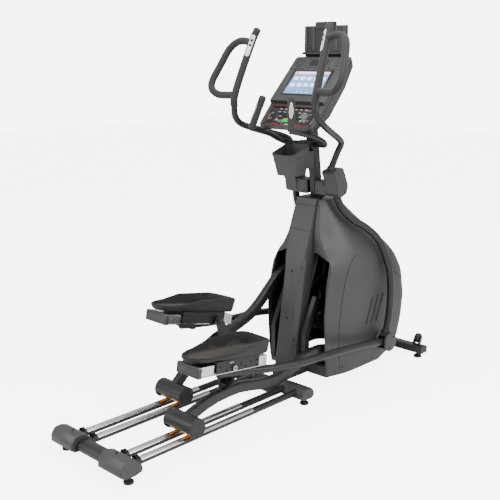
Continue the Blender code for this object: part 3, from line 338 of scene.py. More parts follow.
def seamAround(name, node, cuts, radius, material, body="base"):
    # a pressed line round a node, where each plane (point, direction) cuts its skin
    points, edges = [], []
    for at, facing in cuts:
        work = bmesh.new()
        work.from_mesh(cad[node].data)
        everything = work.verts[:] + work.edges[:] + work.faces[:]
        cut = bmesh.ops.bisect_plane(work, geom=everything, plane_co=at, plane_no=facing)["geom_cut"]
        work.verts.index_update()
        lines = [e for e in cut if isinstance(e, bmesh.types.BMEdge)]
        spots = sorted({v for e in lines for v in e.verts}, key=lambda v: v.index)
        rank = {v: len(points) + k for k, v in enumerate(spots)}
        points += [tuple(v.co) for v in spots]
        edges += [(rank[e.verts[0]], rank[e.verts[1]]) for e in lines]
        work.free()
    mesh = bpy.data.meshes.new(name + "Lines")
    mesh.from_pydata(points, edges, [])
    return runTree(name, beadTree, mesh, {"Bead radius": radius, "Sides": 6}, finish[material], body, 60)


def turned(x, z, angle):
    return x * math.cos(angle) + z * math.sin(angle), -x * math.sin(angle) + z * math.cos(angle)


def place(points, pivot, angle, side):
    out = []
    for x, y, z in points:
        tx, tz = turned(x, z, angle)
        out.append(Vector((pivot[0] + tx, side * y, pivot[1] + tz)))
    return out


def startTree(name, sizes):
    tree = bpy.data.node_groups.new(name, "GeometryNodeTree")
    tree.interface.new_socket("Places", in_out="INPUT", socket_type="NodeSocketGeometry")
    for label, value in sizes.items():
        kind = {type(None): "NodeSocketMaterial", int: "NodeSocketInt", float: "NodeSocketFloat"}[type(value)]
        socket = tree.interface.new_socket(label, in_out="INPUT", socket_type=kind)
        if value is not None:
            socket.default_value = value
    tree.interface.new_socket("Result", in_out="OUTPUT", socket_type="NodeSocketGeometry")
    return tree, addNode(tree, "NodeGroupInput").outputs, addNode(tree, "NodeGroupOutput")


def buildFittingTree():
    # one small fitting on every marked place, facing the way that place faces
    sizes = {"Sides": 16, "Top radius": 0.004, "Base radius": 0.005, "Depth": 0.002, "Turn": 0.0,
             "Finish": None}
    tree, given, end = startTree("repeatedFitting", sizes)
    shape = addNode(tree, "GeometryNodeMeshCone", {"fill_type": "NGON"}, {
        "Vertices": given["Sides"], "Radius Top": given["Top radius"], "Radius Bottom": given["Base radius"],
        "Depth": given["Depth"]})
    spin = addNode(tree, "ShaderNodeCombineXYZ", {}, {"Z": given["Turn"]})
    turnedShape = addNode(tree, "GeometryNodeTransform", {},
                          {"Geometry": shape.outputs["Mesh"], "Rotation": spin.outputs[0]})
    facing = addNode(tree, "GeometryNodeInputNamedAttribute", {"data_type": "FLOAT_VECTOR", "Name": "facing"})
    along = addNode(tree, "GeometryNodeInputNamedAttribute", {"data_type": "FLOAT_VECTOR", "Name": "along"})
    size = addNode(tree, "GeometryNodeInputNamedAttribute", {"data_type": "FLOAT_VECTOR", "Name": "size"})
    aim = addNode(tree, "FunctionNodeAxesToRotation", {"primary_axis": "Z", "secondary_axis": "X"}, {
        "Primary Axis": facing.outputs[0], "Secondary Axis": along.outputs[0]})
    points = addNode(tree, "GeometryNodeMeshToPoints", {}, {"Mesh": given["Places"]})
    copies = addNode(tree, "GeometryNodeInstanceOnPoints", {}, {
        "Points": points.outputs[0], "Instance": turnedShape.outputs[0], "Rotation": aim.outputs[0],
        "Scale": size.outputs[0]})
    solid = addNode(tree, "GeometryNodeRealizeInstances", {}, {"Geometry": copies.outputs[0]})
    painted = addNode(tree, "GeometryNodeSetMaterial", {},
                      {"Geometry": solid.outputs[0], "Material": given["Finish"]})
    tree.links.new(painted.outputs[0], end.inputs[0])
    return tree


def buildBeadTree():
    # a round bead along every drawn line
    tree, given, end = startTree("followingBead", {"Bead radius": 0.001, "Sides": 8, "Finish": None})
    line = addNode(tree, "GeometryNodeMeshToCurve", {}, {"Mesh": given["Places"]})
    ring = addNode(tree, "GeometryNodeCurvePrimitiveCircle", {},
                   {"Resolution": given["Sides"], "Radius": given["Bead radius"]})
    tube = addNode(tree, "GeometryNodeCurveToMesh", {"Fill Caps": True},
                   {"Curve": line.outputs[0], "Profile Curve": ring.outputs[0]})
    solid = addNode(tree, "GeometryNodeRealizeInstances", {}, {"Geometry": tube.outputs[0]})
    painted = addNode(tree, "GeometryNodeSetMaterial", {},
                      {"Geometry": solid.outputs[0], "Material": given["Finish"]})
    tree.links.new(painted.outputs[0], end.inputs[0])
    return tree


fittingTree = buildFittingTree()
beadTree = buildBeadTree()


def runTree(name, tree, mesh, sizes, material, body, sharpAngle=35):
    holder = bpy.data.objects.new(name + "Places", mesh)
    bpy.context.scene.collection.objects.link(holder)
    stack = holder.modifiers.new("geometry", "NODES")
    stack.node_group = tree
    sizes = {**sizes, "Finish": material}
    for item in tree.interface.items_tree:
        if item.in_out == "INPUT" and item.name in sizes:
            stack[item.identifier] = sizes[item.name]
    bpy.context.view_layer.update()
    shown = holder.evaluated_get(bpy.context.evaluated_depsgraph_get())
    plain = bpy.data.meshes.new_from_object(shown)
    plain.name = name
    bpy.data.objects.remove(holder)
    work = bmesh.new()
    work.from_mesh(plain)
    bmesh.ops.recalc_face_normals(work, faces=work.faces)
    work.to_mesh(plain)
    work.free()
    return putIn(name, plain, material, body, sharpAngle)


def fittings(name, spots, sizes, material, body):
    # spots are (position, facing) or (position, facing, along, size)
    mesh = bpy.data.meshes.new(name + "Spots")
    mesh.from_pydata([tuple(s[0]) for s in spots], [], [])
    rows = {"facing": [], "along": [], "size": []}
    for spot in spots:
        facing = Vector(spot[1]).normalized()
        along = Vector(spot[2]) if len(spot) > 2 else facing.orthogonal()
        size = spot[3] if len(spot) > 3 else (1, 1, 1)
        rows["facing"] += list(facing)
        rows["along"] += list(along)
        rows["size"] += list(size)
    for label, values in rows.items():
        mesh.attributes.new(label, "FLOAT_VECTOR", "POINT").data.foreach_set("vector", values)
    return runTree(name, fittingTree, mesh, sizes, material, body)


def screws(name, spots, body, radius=0.0045, material="blackOxideScrew"):
    # a low round head with a hexagon socket
    head = {"Sides": 18, "Top radius": radius * 0.86, "Base radius": radius, "Depth": radius * 0.45}
    socket = {"Sides": 6, "Top radius": radius * 0.45, "Base radius": radius * 0.45, "Depth": radius * 0.04}
    fittings(name, spots, head, finish[material], body)
    raised = [(Vector(s[0]) + Vector(s[1]).normalized() * radius * 0.5, *s[1:]) for s in spots]
    fittings(name + "Sockets", raised, socket, finish["seamShadow"], body)


def beads(name, lines, radius, material, body, around=8):
    points, edges = [], []
    for line in lines:
        first = len(points)
        points += [tuple(p) for p in line]
        edges += [(first + k, first + k + 1) for k in range(len(line) - 1)]
    mesh = bpy.data.meshes.new(name + "Lines")
    mesh.from_pydata(points, edges, [])
    return runTree(name, beadTree, mesh, {"Bead radius": radius, "Sides": around}, finish[material], body, 60)


def buildStage():
    view = {"place": (-2.813, -2.614, 1.643), "yaw": 43.81, "down": 13.21, "lens": 59.6,
            "skyLight": 0.75, "backdrop": 7.0, "floorGlow": 5.6}
    yaw, down = math.radians(view["yaw"]), math.radians(view["down"])
    ahead = Vector((math.cos(down) * math.cos(yaw), math.cos(down) * math.sin(yaw), -math.sin(down)))
    right = Vector((math.sin(yaw), -math.cos(yaw), 0))
    up = right.cross(ahead)
    camera = bpy.data.objects.new("camera", bpy.data.cameras.new("camera"))
    camera.data.lens = view["lens"]
    camera.data.sensor_width = 36
    camera.matrix_world = Matrix(((right.x, up.x, -ahead.x, view["place"][0]),
                                  (right.y, up.y, -ahead.y, view["place"][1]),
                                  (right.z, up.z, -ahead.z, view["place"][2]), (0, 0, 0, 1)))
    bpy.context.scene.collection.objects.link(camera)
    bpy.context.scene.camera = camera
    world = bpy.data.worlds.new("studio")
    world.use_nodes = True
    air = world.node_tree
    seen = addNode(air, "ShaderNodeLightPath").outputs["Is Camera Ray"]
    strength = addNode(air, "ShaderNodeMapRange", {"To Min": view["skyLight"], "To Max": view["backdrop"]},
                       {"Value": seen})
    air.nodes["Background"].inputs[0].default_value = (1, 1, 1, 1)
    air.links.new(strength.outputs[0], air.nodes["Background"].inputs[1])
    bpy.context.scene.world = world
    lamps = {
        "overheadSoftbox": ((-0.4, -0.6, 3.6), (0.1, 0.0, 0.6), 2.6, 120),
        "leftSoftbox": ((-3.2, 1.2, 2.0), (0.1, 0.1, 0.8), 1.8, 60),
        "rightSoftbox": ((0.6, -3.4, 2.2), (0.3, 0.0, 0.7), 2.0, 70),
    }
    for name, (where, aim, width, power) in lamps.items():
        lamp = bpy.data.objects.new(name, bpy.data.lights.new(name, "AREA"))
        lamp.data.size = width
        lamp.data.energy = power
        lamp.location = where
        lamp.rotation_euler = (Vector(aim) - Vector(where)).to_track_quat("-Z", "Y").to_euler()
        bpy.context.scene.collection.objects.link(lamp)
    mesh = bpy.data.meshes.new("floor")
    mesh.from_pydata([(-14, -14, 0), (14, -14, 0), (14, 14, 0), (-14, 14, 0)], [], [(0, 1, 2, 3)])
    mesh.materials.append(finish["paleFloor"])
    # the sweep is lit from below, as a light table is, and only the eye sees that light
    ground = finish["paleFloor"].node_tree
    glow = addNode(ground, "ShaderNodeEmission", {"Strength": view["floorGlow"]})
    eye = addNode(ground, "ShaderNodeLightPath").outputs["Is Camera Ray"]
    dark = addNode(ground, "ShaderNodeMixShader", {}, {0: eye, 2: glow.outputs[0]})
    out = next(n for n in ground.nodes if n.type == "OUTPUT_MATERIAL")
    both = addNode(ground, "ShaderNodeAddShader", {}, {0: out.inputs[0].links[0].from_socket,
                                                       1: dark.outputs[0]})
    ground.links.new(both.outputs[0], out.inputs[0])
    floor = bpy.data.objects.new("floor", mesh)
    bpy.context.scene.collection.objects.link(floor)


buildStage()
print("stage set")


linkageSizes = {"pedalReach": 0.95214, "elbowFromPivot": (0.240, -0.808)}


def restOf(name):
    # where one side's linkage rests, read from the joints
    s = linkageSizes
    pivot = joint["swing_" + name]["pos_m"]
    elbow = joint["link_" + name]["pos_m"]
    wheel = joint["wheelset_" + name + "_spin"]["pos_m"]
    way = joint["pedal_" + name + "_adjust"]["axis"]
    lean = math.atan2(-way[2], way[0])
    pedal = (elbow[0] - s["pedalReach"] * math.cos(lean), elbow[2] + s["pedalReach"] * math.sin(lean))
    swing = math.atan2(elbow[0] - pivot[0], elbow[2] - pivot[2]) - math.atan2(*s["elbowFromPivot"])
    return {"side": sides[name], "pivot": (pivot[0], pivot[2]), "elbow": (elbow[0], elbow[2]),
            "wheel": (wheel[0], wheel[2]), "lean": lean, "pedal": pedal, "swing": swing}


rest = {name: restOf(name) for name in sides}
print("linkage at rest:", {n: (round(r["swing"], 4), round(r["lean"], 4)) for n, r in rest.items()})

handleSizes = {
    "setAngle": math.radians(-1.2), "stem": 0.0156, "grip": 0.0180, "loopGrip": 0.0177, "around": 28,
    "foamFrom": 7, "steps": 8, "endDome": (0.002, 0.012),
    "plate": [(-0.2000, 0.2150, 0.656), (-0.1530, 0.2005, 0.749)], "plateFacing": (-0.78, -0.55, 0.30),
    "plateRise": 0.0198, "buttonsAt": (0.52, 0.74), "buttonStretch": (1.2, 1.0, 1.0),
    "button": {"Sides": 20, "Top radius": 0.0056, "Base radius": 0.0062, "Depth": 0.0010},
    "bar": [(-0.036, 0.128, 0.105), (-0.007, 0.143, 0.180), (0.005, 0.156, 0.222), (-0.030, 0.170, 0.248),
            (-0.130, 0.203, 0.290), (-0.238, 0.240, 0.336), (-0.285, 0.239, 0.381), (-0.291, 0.236, 0.433),
            (-0.281, 0.236, 0.486), (-0.222, 0.222, 0.612), (-0.160, 0.203, 0.736), (-0.138, 0.194, 0.774)],
    "loop": [(-0.172, 0.206, 0.716), (-0.166, 0.250, 0.727), (-0.171, 0.295, 0.724), (-0.196, 0.331, 0.694),
             (-0.240, 0.358, 0.622), (-0.285, 0.379, 0.550), (-0.300, 0.370, 0.512), (-0.294, 0.338, 0.488),
             (-0.284, 0.290, 0.484), (-0.281, 0.240, 0.486)],
}


def asBolted(points):
    # the bar is bolted on a touch off square
    out = []
    for x, y, z in points:
        tx, tz = turned(x, z, handleSizes["setAngle"])
        out.append((tx, y, tz))
    return out


def buildHandlebars():
    s = handleSizes
    for name, r in rest.items():
        label, body = name.title(), "swing_" + name
        bar, loop = [flowing(place(asBolted(s[line]), r["pivot"], r["swing"], r["side"]), s["steps"])
                     for line in ("bar", "loop")]
        cut = s["foamFrom"] * s["steps"]
        stem = sweep(bar[:cut + 2], s["stem"], s["around"])
        makePiece("handleStem" + label, *stem, finish["powderCoatBlack"], body)
        foam = sweep(bar[cut:], s["grip"], s["around"], domed=s["endDome"])
        grip = makePiece("foamBar" + label, *foam, finish["nitrileFoam"], body, 50)
        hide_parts("handlebar_" + name)
        hoop = sweep(loop, s["loopGrip"], s["around"])
        makePiece("foamLoop" + label, *hoop, finish["nitrileFoam"], body, 50)


def buildHandKeys():
    # two round thumb buttons on each plate
    s = handleSizes
    for name, r in rest.items():
        low, high = [Vector(p) for p in asBolted(s["plate"])]
        way = (high - low).normalized()
        out = Vector(s["plateFacing"])
        out = (out - way * out.dot(way)).normalized()
        spots = [tuple(low + (high - low) * t + out * s["plateRise"]) for t in s["buttonsAt"]]
        ends = place(spots + [(0, 0, 0), tuple(out), tuple(way)], r["pivot"], r["swing"], r["side"])
        facing, rise = ends[3] - ends[2], ends[4] - ends[2]
        fittings("thumbButtons" + name.title(), [(p, facing, rise, s["buttonStretch"]) for p in ends[:2]],
                 s["button"], finish["seamShadow"], "hand_key_" + name)


buildHandlebars()
buildHandKeys()
print("handlebars built")

# every other node keeps its own shape, with its finish and the width of its rounded edges
shownAs = {
    "console_housing": ("mouldedAbsCharcoal", 0.0035), "tablet_rack": ("mouldedAbsDark", 0.0015),
    "tablet_clamp": ("mouldedAbsDark", 0.0025),
    "cup_holder": ("mouldedAbsCharcoal", 0.0018), "spine_cover": ("mouldedAbsCharcoal", 0.0025),
    "console_mast": ("powderCoatBlack", 0.0015), "rail_frame": ("powderCoatBlack", 0.0008),
    "drive_frame": ("powderCoatBlack", 0.0012),
    "pulse_handlebar": ("powderCoatBlack", 0.0012), "display_screen": ("litPanelBlue", 0.0006),
    "start_key": ("greenKey", 0.0005), "stop_key": ("redKey", 0.0005), "level_rocker": ("keypadFilm", 0.0006),
    "resistance_rocker": ("keypadFilm", 0.0006), "crank_pulley": ("castIron", 0.001),
    "flywheel": ("castIron", 0.001),
    "drive_belt": ("filledNylonBlack", 0.0004),
}
for side in sides:
    shownAs.update({
        "rear_cap_" + side: ("mouldedAbsCharcoal", 0.004),
        "middle_cap_" + side: ("mouldedAbsCharcoal", 0.0035),
        "swing_arm_" + side: ("powderCoatBlack", 0.0012),
        "connecting_arm_" + side: ("powderCoatBlack", 0.0012),
        "track_arm_" + side: ("powderCoatBlack", 0.0012), "pedal_rail_" + side: ("brightAluminium", 0.0012),
        "pedal_carriage_" + side: ("filledNylonBlack", 0.0012),
        "release_lever_" + side: ("filledNylonBlack", 0.0015),
        "footpad_" + side: ("mouldedRubber", 0.0015), "wheelset_" + side: ("castPolyurethane", 0.0004),
        "crank_arm_" + side: ("powderCoatBlack", 0.0015), "hand_key_" + side: ("whiteKeyPlate", 0.0006),
        "pulse_grip_" + side: ("nitrileFoam", 0.0015), "transport_wheel_" + side: ("mouldedRubber", 0.001),
        "foot_rear_" + side: ("mouldedRubber", 0.0012), "foot_middle_" + side: ("mouldedRubber", 0.0012),
        "foot_front_" + side: ("mouldedRubber", 0.0012),
        "track_" + side + "_inner": ("brightAluminium", 0.0003),
        "track_" + side + "_outer": ("brightAluminium", 0.0003),
    })
for node, (material, edge) in shownAs.items():
    softCopy(node, finish[material], edge)
print("copies made:", len(shownAs))

shroudSizes = {
    # height, rear, front, half width, corner, tail half width
    "levels": [(0.067, 0.268, 0.705, 0.217, 0.060, 0.190), (0.100, 0.264, 0.800, 0.236, 0.080, 0.197),
               (0.160, 0.258, 0.866, 0.240, 0.090, 0.197), (0.270, 0.249, 0.904, 0.240, 0.095, 0.197),
               (0.393, 0.243, 0.918, 0.240, 0.095, 0.197), (0.535, 0.262, 0.888, 0.240, 0.095, 0.191),
               (0.620, 0.285, 0.838, 0.234, 0.095, 0.188), (0.665, 0.297, 0.800, 0.222, 0.092, 0.180),
               (0.710, 0.296, 0.752, 0.206, 0.088, 0.138), (0.780, 0.296, 0.668, 0.168, 0.075, 0.102),
               (0.860, 0.308, 0.574, 0.126, 0.055, 0.089), (0.950, 0.330, 0.475, 0.088, 0.035, 0.078)],
    "slot": [(0.125, 0.184), (0.610, 0.184), (0.655, 0.170), (0.690, 0.090)],
    "slotFrom": 0.125, "slotTo": 0.690, "wall": 0.0035, "lip": 0.055, "spineEdge": 0.0655,
    "rows": 78, "middleAt": 0.42, "rearCorner": 0.014,
    # pressed lines, as x and z: the raised centre panel and the front hatch
    "panel": [(0.342, 0.100), (0.330, 0.300), (0.345, 0.450), (0.372, 0.560), (0.405, 0.630), (0.450, 0.675)],
    "hatch": [(0.742, 0.662), (0.732, 0.610), (0.762, 0.540), (0.805, 0.503), (0.868, 0.495)],
    "lineRadius": 0.0012, "louvre": [(0.520, 0.300), (0.575, 0.440)], "louvreStep": 0.045,
    "louvreRadius": 0.0032,
    "screws": ((0.60, 0.095), (0.36, 0.11), (0.76, 0.42)),
}


def along(table, x, column):
    # straight-line reading of a table whose first column is x
    for a, b in zip(table, table[1:]):
        if x <= b[0]:
            t = max(0.0, (x - a[0]) / (b[0] - a[0]))
            return a[column] + (b[column] - a[column]) * t
    return table[-1][column]


def smoothLevel(z):
    rows = shroudSizes["levels"]
    out = []
    for column in range(1, 6):
        # the mean over a small band rounds the corners between levels
        near = [min(max(z + d, rows[0][0]), rows[-1][0]) for d in (-0.022, -0.011, 0, 0.011, 0.022)]
        reads = [along(rows, at, column) for at in near]
        out.append(sum(reads) / len(reads))
    return out


def buildShroud():
    s = shroudSizes
    low, high = s["levels"][0][0], s["levels"][-1][0]
    heights = [low + (high - low) * k / s["rows"] for k in range(s["rows"] + 1)]
    for edge in (s["slotFrom"], s["slotTo"]):
        heights += [edge - 0.0002, edge + 0.0002]
    heights = sorted(heights)
    for name, side in sides.items():
        points, count = [], None
        for z in heights:
            rear, front, half, corner, tail = smoothLevel(z)
            inner = along(s["slot"], z, 1) if s["slotFrom"] <= z <= s["slotTo"] else s["spineEdge"]
            inner = min(inner, tail - 0.004)
            middle = rear + s["middleAt"] * (front - rear)
            small = s["rearCorner"]
            row = [(rear + s["lip"], inner), (rear + 0.004, inner), (rear, inner + 0.003)]
            row += [(rear + small - small * math.sin(a), tail - small + small * math.cos(a))
                    for a in (1.57, 1.1, 0.6, 0.15)]
            row[3] = (rear, max(tail - small, inner + 0.0035))
            first, last = (rear + small, tail), (middle, half)
            for t in (0.25, 0.5, 0.75):
                bow = math.sin(t * math.pi / 2)
                row.append((first[0] + (last[0] - first[0]) * t, first[1] + (last[1] - first[1]) * bow))
            row.append(last)
            row.append((middle + 0.5 * (front - corner - middle), half))
            for k in range(9):
                a = math.pi / 2 * (1 - k / 8)
                row.append((front - corner + corner * math.cos(a), half - corner + corner * math.sin(a)))
            row += [(front, (half - corner) * 0.6), (front, 0.0)]
            count = len(row)
            points += [(x, side * y, z) for x, y in row]
        faces = []
        for k in range(len(heights) - 1):
            for i in range(count - 1):
                faces.append((k * count + i, k * count + i + 1, (k + 1) * count + i + 1, (k + 1) * count + i))
        # the small flat roof
        faces.append(tuple((len(heights) - 1) * count + i for i in range(1, count)))
        mesh = bpy.data.meshes.new("sideCover")
        mesh.from_pydata(points, [], faces)
        if side > 0:
            mesh.flip_normals()
        cover = putIn("sideCover" + name.title(), mesh, finish["mouldedAbsCharcoal"], "base", 38)
        centre = Vector((0.55, side * 0.08, 0.45))
        outward = sum((p.center - centre).dot(p.normal) * p.area for p in mesh.polygons)
        if outward < 0:
            mesh.flip_normals()
        wall = cover.modifiers.new("wall", "SOLIDIFY")
        wall.thickness = s["wall"]
        wall.offset = -1.0
        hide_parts("side_cover_" + name)

        def skin(x, z, proud=0.0):
            rear, front, half, corner, tail = smoothLevel(z)
            middle = rear + s["middleAt"] * (front - rear)
            if x < middle:
                start = rear + s["rearCorner"]
                t = (x - start) / (middle - start)
                y = tail + (half - tail) * math.sin(max(0.0, t) * math.pi / 2)
            elif x < front - corner:
                y = half
            else:
                y = half - corner + math.sqrt(max(0.0, corner ** 2 - (x - front + corner) ** 2))
            return Vector((x, side * (y + proud), z))

        def drawn(corners, steps=10):
            line = []
            for (x0, z0), (x1, z1) in zip(corners, corners[1:]):
                line += [skin(x0 + (x1 - x0) * k / steps, z0 + (z1 - z0) * k / steps) for k in range(steps)]
            return line + [skin(*corners[-1])]

        seams = [[(p.x, p.z) for p in flowing([(x, 0, z) for x, z in s[shape]], 6)]
                 for shape in ("panel", "hatch")]
        beads("pressedLines" + name.title(), [drawn(shape, 2) for shape in seams], s["lineRadius"],
              "seamShadow", "base", 6)
        louvres = [drawn([(x + s["louvreStep"] * k, z) for x, z in s["louvre"]], 8) for k in range(3)]
        beads("louvres" + name.title(), louvres, s["louvreRadius"], "seamShadow", "base", 8)
        spots = [(skin(x, z), (0.1, side, 0)) for x, z in s["screws"]]
        screws("coverScrews" + name.title(), spots, "base", 0.0048)


buildShroud()
print("shroud built")

consoleSizes = {"origin": (0.145, 1.310), "tilt": math.radians(50.0), "screenMiddle": 0.264,
                "screenFace": 0.0067, "screenSlope": -0.0702}


def onConsole(u, y, v=0.0):
    c, s = math.cos(consoleSizes["tilt"]), math.sin(consoleSizes["tilt"])
    return Vector((consoleSizes["origin"][0] + u * c - v * s, y, consoleSizes["origin"][1] + u * s + v * c))


def onUpper(u, y, v=0.0):
    return onConsole(u, y, 0.016 - (u - 0.146) * 0.0702 + v)


def onScreen(u, y, v=0.0):
    s = consoleSizes
    return onConsole(u, y, s["screenFace"] + (u - s["screenMiddle"]) * s["screenSlope"] + v)


consoleUp = onConsole(0, 0, 1) - onConsole(0, 0, 0)
consoleRise = onConsole(1, 0, 0) - onConsole(0, 0, 0)
# a tile one metre square, scaled to size where it is used
flatTile = {"Sides": 4, "Top radius": 0.7071, "Base radius": 0.7071, "Depth": 1.0, "Turn": math.pi / 4}


def tilesOn(on, rows, lift):
    # rows are (u, y, (height, width, thickness)) on a face of the console
    return [(on(u, y, lift), consoleUp, consoleRise, size) for u, y, size in rows]


def plate(name, corners, lift, thick, material, body, on, edge=0.0):
    # a thin plate on one of the console's faces
    points = [on(u, y, lift) for u, y in corners] + [on(u, y, lift + thick) for u, y in corners]
    n = len(corners)
    faces = [tuple(range(n)), tuple(range(n, 2 * n))]
    faces += [(i, (i + 1) % n, n + (i + 1) % n, n + i) for i in range(n)]
    return makePiece(name, points, faces, finish[material], body, 30, edge)


def roundedCorners(u0, u1, y0, y1, r, steps=5):
    out = []
    for cu, cy, start in ((u1 - r, y1 - r, 0), (u0 + r, y1 - r, 90), (u0 + r, y0 + r, 180),
                          (u1 - r, y0 + r, 270)):
        for k in range(steps + 1):
            a = math.radians(start + 90 * k / steps)
            out.append((cu + r * math.cos(a), cy + r * math.sin(a)))
    return out


keypadSizes = {
    # cells left open for the keys: low u, high u, low y, high y
    "holes": [(0.0340, 0.0560, 0.0020, 0.0340), (0.0340, 0.0560, -0.0380, -0.0060),
              (0.0350, 0.0950, 0.1060, 0.1300), (0.0350, 0.0950, -0.1300, -0.1060)],
    "film": (0.014, 0.127, -0.150, 0.150), "thick": 0.0006, "border": (0.018, 0.124, -0.146, 0.146, 0.020),
    "accent": (0.007, 0.046, 0.0006), "accentAt": (0.019, 0.075),
    "mark": (0.0026, 0.016, 0.0004),
    "markRows": ((0.108, (-0.078, -0.047, -0.016, 0.016, 0.047, 0.078)),
                 (0.090, (-0.078, -0.047, 0.047, 0.078)),
                 (0.066, (-0.062, 0.062))),
    "squares": [(0.045, -0.075, (0.009, 0.009, 0.0004)), (0.045, 0.075, (0.009, 0.009, 0.0004)),
                (0.020, 0.0, (0.006, 0.022, 0.0004))],
    "rockers": (("level_rocker", 0.118), ("resistance_rocker", -0.118)),
    "arrowsAt": ((0.082, 1), (0.048, -1)),
    "arrowHalf": 0.007, "arrowLift": 0.0013,
}


def buildKeypad():
    # the film goes round the keys, in a grid with those cells left out
    s = keypadSizes
    us = sorted(set(s["film"][:2]) | {v for h in s["holes"] for v in h[:2]})
    ys = sorted(set(s["film"][2:]) | {v for h in s["holes"] for v in h[2:]})
    points = [onConsole(u, y, 0.0004) for u in us for y in ys]
    faces = []
    for i in range(len(us) - 1):
        for k in range(len(ys) - 1):
            mu, my = (us[i] + us[i + 1]) / 2, (ys[k] + ys[k + 1]) / 2
            if any(h[0] < mu < h[1] and h[2] < my < h[3] for h in s["holes"]):
                continue
            a = i * len(ys) + k
            faces.append((a, a + 1, a + len(ys) + 1, a + len(ys)))
    mesh = bpy.data.meshes.new("keypadFilm")
    mesh.from_pydata([tuple(p) for p in points], [], faces)
    if mesh.polygons[0].normal.dot(consoleUp) < 0:
        mesh.flip_normals()
    film = putIn("keypadFilm", mesh, finish["keypadFilm"], "base")
    thick = film.modifiers.new("film", "SOLIDIFY")
    thick.thickness = s["thick"]
    thick.offset = -1.0
    border = [onConsole(u, y, 0.0005) for u, y in roundedCorners(*s["border"])]
    beads("keypadBorder", [border + [border[0]]], 0.0011, "printedRed", "base", 6)
    accentU, accentY = s["accentAt"]
    red = [(accentU, y, s["accent"]) for y in (-accentY, accentY)]
    fittings("keypadAccents", tilesOn(onConsole, red, 0.0006), flatTile, finish["printedRed"], "base")
    marks = [(u, y, s["mark"]) for u, row in s["markRows"] for y in row] + s["squares"]
    fittings("keypadMarks", tilesOn(onConsole, marks, 0.0006), flatTile, finish["printedGrey"], "base")
    half, lift = s["arrowHalf"], s["arrowLift"]
    for node, y in s["rockers"]:
        arrows = [[onConsole(u - 0.004 * way, y - half, lift), onConsole(u + 0.003 * way, y, lift),
                   onConsole(u - 0.004 * way, y + half, lift)] for u, way in s["arrowsAt"]]
        beads(node + "Arrows", arrows, 0.0008, "printedGrey", cad[node]["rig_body"], 6)


screenSizes = {
    "tile": (0.026, 0.029, 0.0004), "tileRows": (0.287, 0.246),
    "tileColumns": (-0.084, -0.042, 0.0, 0.042, 0.084),
    "header": (0.3265, 0.0, (0.011, 0.220, 0.0004)), "dot": (0.007, 0.007, 0.0004),
    "dotsAt": (0.204, (-0.03, 0.0, 0.03)),
    "bars": [(0.3338, 0.0, (0.0036, 0.222, 0.0005)), (0.3265, -0.100, (0.008, 0.008, 0.0006)),
             (0.3265, 0.100, (0.008, 0.008, 0.0006))],
    # the dark frame's four strips: low u, high u, low y, high y
    "bezel": ((0.1835, 0.1915, -0.121, 0.121), (0.3365, 0.3415, -0.121, 0.121),
              (0.184, 0.341, -0.121, -0.1125),
              (0.184, 0.341, 0.1125, 0.121)),
    "bezelThick": 0.0012,
}


def buildScreen():
    s = screenSizes
    tiles = [(u, y, s["tile"]) for u in s["tileRows"] for y in s["tileColumns"]] + [s["header"]]
    tiles += [(s["dotsAt"][0], y, s["dot"]) for y in s["dotsAt"][1]]
    fittings("screenTiles", tilesOn(onScreen, tiles, 0.0001), flatTile, finish["litTileWhite"], "base")
    fittings("screenBars", tilesOn(onScreen, s["bars"], 0.0002), flatTile, finish["litBarRed"], "base")
    strips = [((u0 + u1) / 2, (y0 + y1) / 2, (u1 - u0, y1 - y0, s["bezelThick"]))
              for u0, u1, y0, y1 in s["bezel"]]
    fittings("screenBezel", tilesOn(onUpper, strips, 0.0002), flatTile, finish["keypadFilm"], "base")


topSizes = {
    "step": [(0.1366, -0.164), (0.1458, -0.164), (0.1458, 0.164), (0.1366, 0.164)],
    "recess": (0.372, 0.412, -0.056, 0.056, 0.007),
    "seams": (((0.352, -0.164), (0.352, -0.078)), ((0.352, 0.078), (0.352, 0.164)),
              ((0.352, -0.078), (0.428, -0.066)),
              ((0.352, 0.078), (0.428, 0.066)), ((0.360, -0.060), (0.360, 0.060))),
    "seamRadius": 0.0014, "speaker": (0.394, 0.120), "speakerRing": 0.027, "ringRadius": 0.0011,
    # radius of each circle of holes, and how many it has
    "holes": ((0.0, 1), (0.0055, 6), (0.011, 12), (0.0165, 18), (0.022, 24)),
    "hole": {"Sides": 8, "Top radius": 0.0013, "Base radius": 0.0013, "Depth": 0.0004},
}


def onStep(u, y, v):
    # the short steep face between the keypad and the screen
    return onConsole(u, y, (u - 0.136) * 1.6 + v * 1.9)


def buildConsoleTop():
    s = topSizes
    plate("consoleStep", s["step"], 0.0004, 0.0003, "seamShadow", "base", onStep)
    plate("consoleRecess", roundedCorners(*s["recess"]), 0.0001, 0.0006, "seamShadow", "base", onUpper)
    lines = [[onUpper(*spot) for spot in line] for line in s["seams"]]
    beads("consoleSeams", lines, s["seamRadius"], "seamShadow", "base", 6)
    u, y = s["speaker"]
    for name, side in sides.items():
        circle = [2 * math.pi * k / 32 for k in range(33)]
        wide = s["speakerRing"]
        ring = [onUpper(u + wide * math.cos(a), side * y + wide * math.sin(a), 0.0004) for a in circle]
        beads("speakerRing" + name.title(), [ring], s["ringRadius"], "mouldedAbsDark", "base", 6)
        dots = []
        for ringSize, many in s["holes"]:
            for k in range(many):
                a = 2 * math.pi * k / many
                spot = onUpper(u + ringSize * math.cos(a), side * y + ringSize * math.sin(a), 0.0002)
                dots.append((spot, consoleUp))
        fittings("speakerHoles" + name.title(), dots, s["hole"], finish["seamShadow"], "base")


jointSizes = {
    "spineHeights": (0.922, 0.800), "consoleDepth": -0.022, "rimSlope": (-0.36, 0, 1), "rimRear": 0.122,
    "rimHeight": 1.1785, "rimRadius": 0.0028, "bandHeight": 1.146, "bandRadius": 0.0018,
}


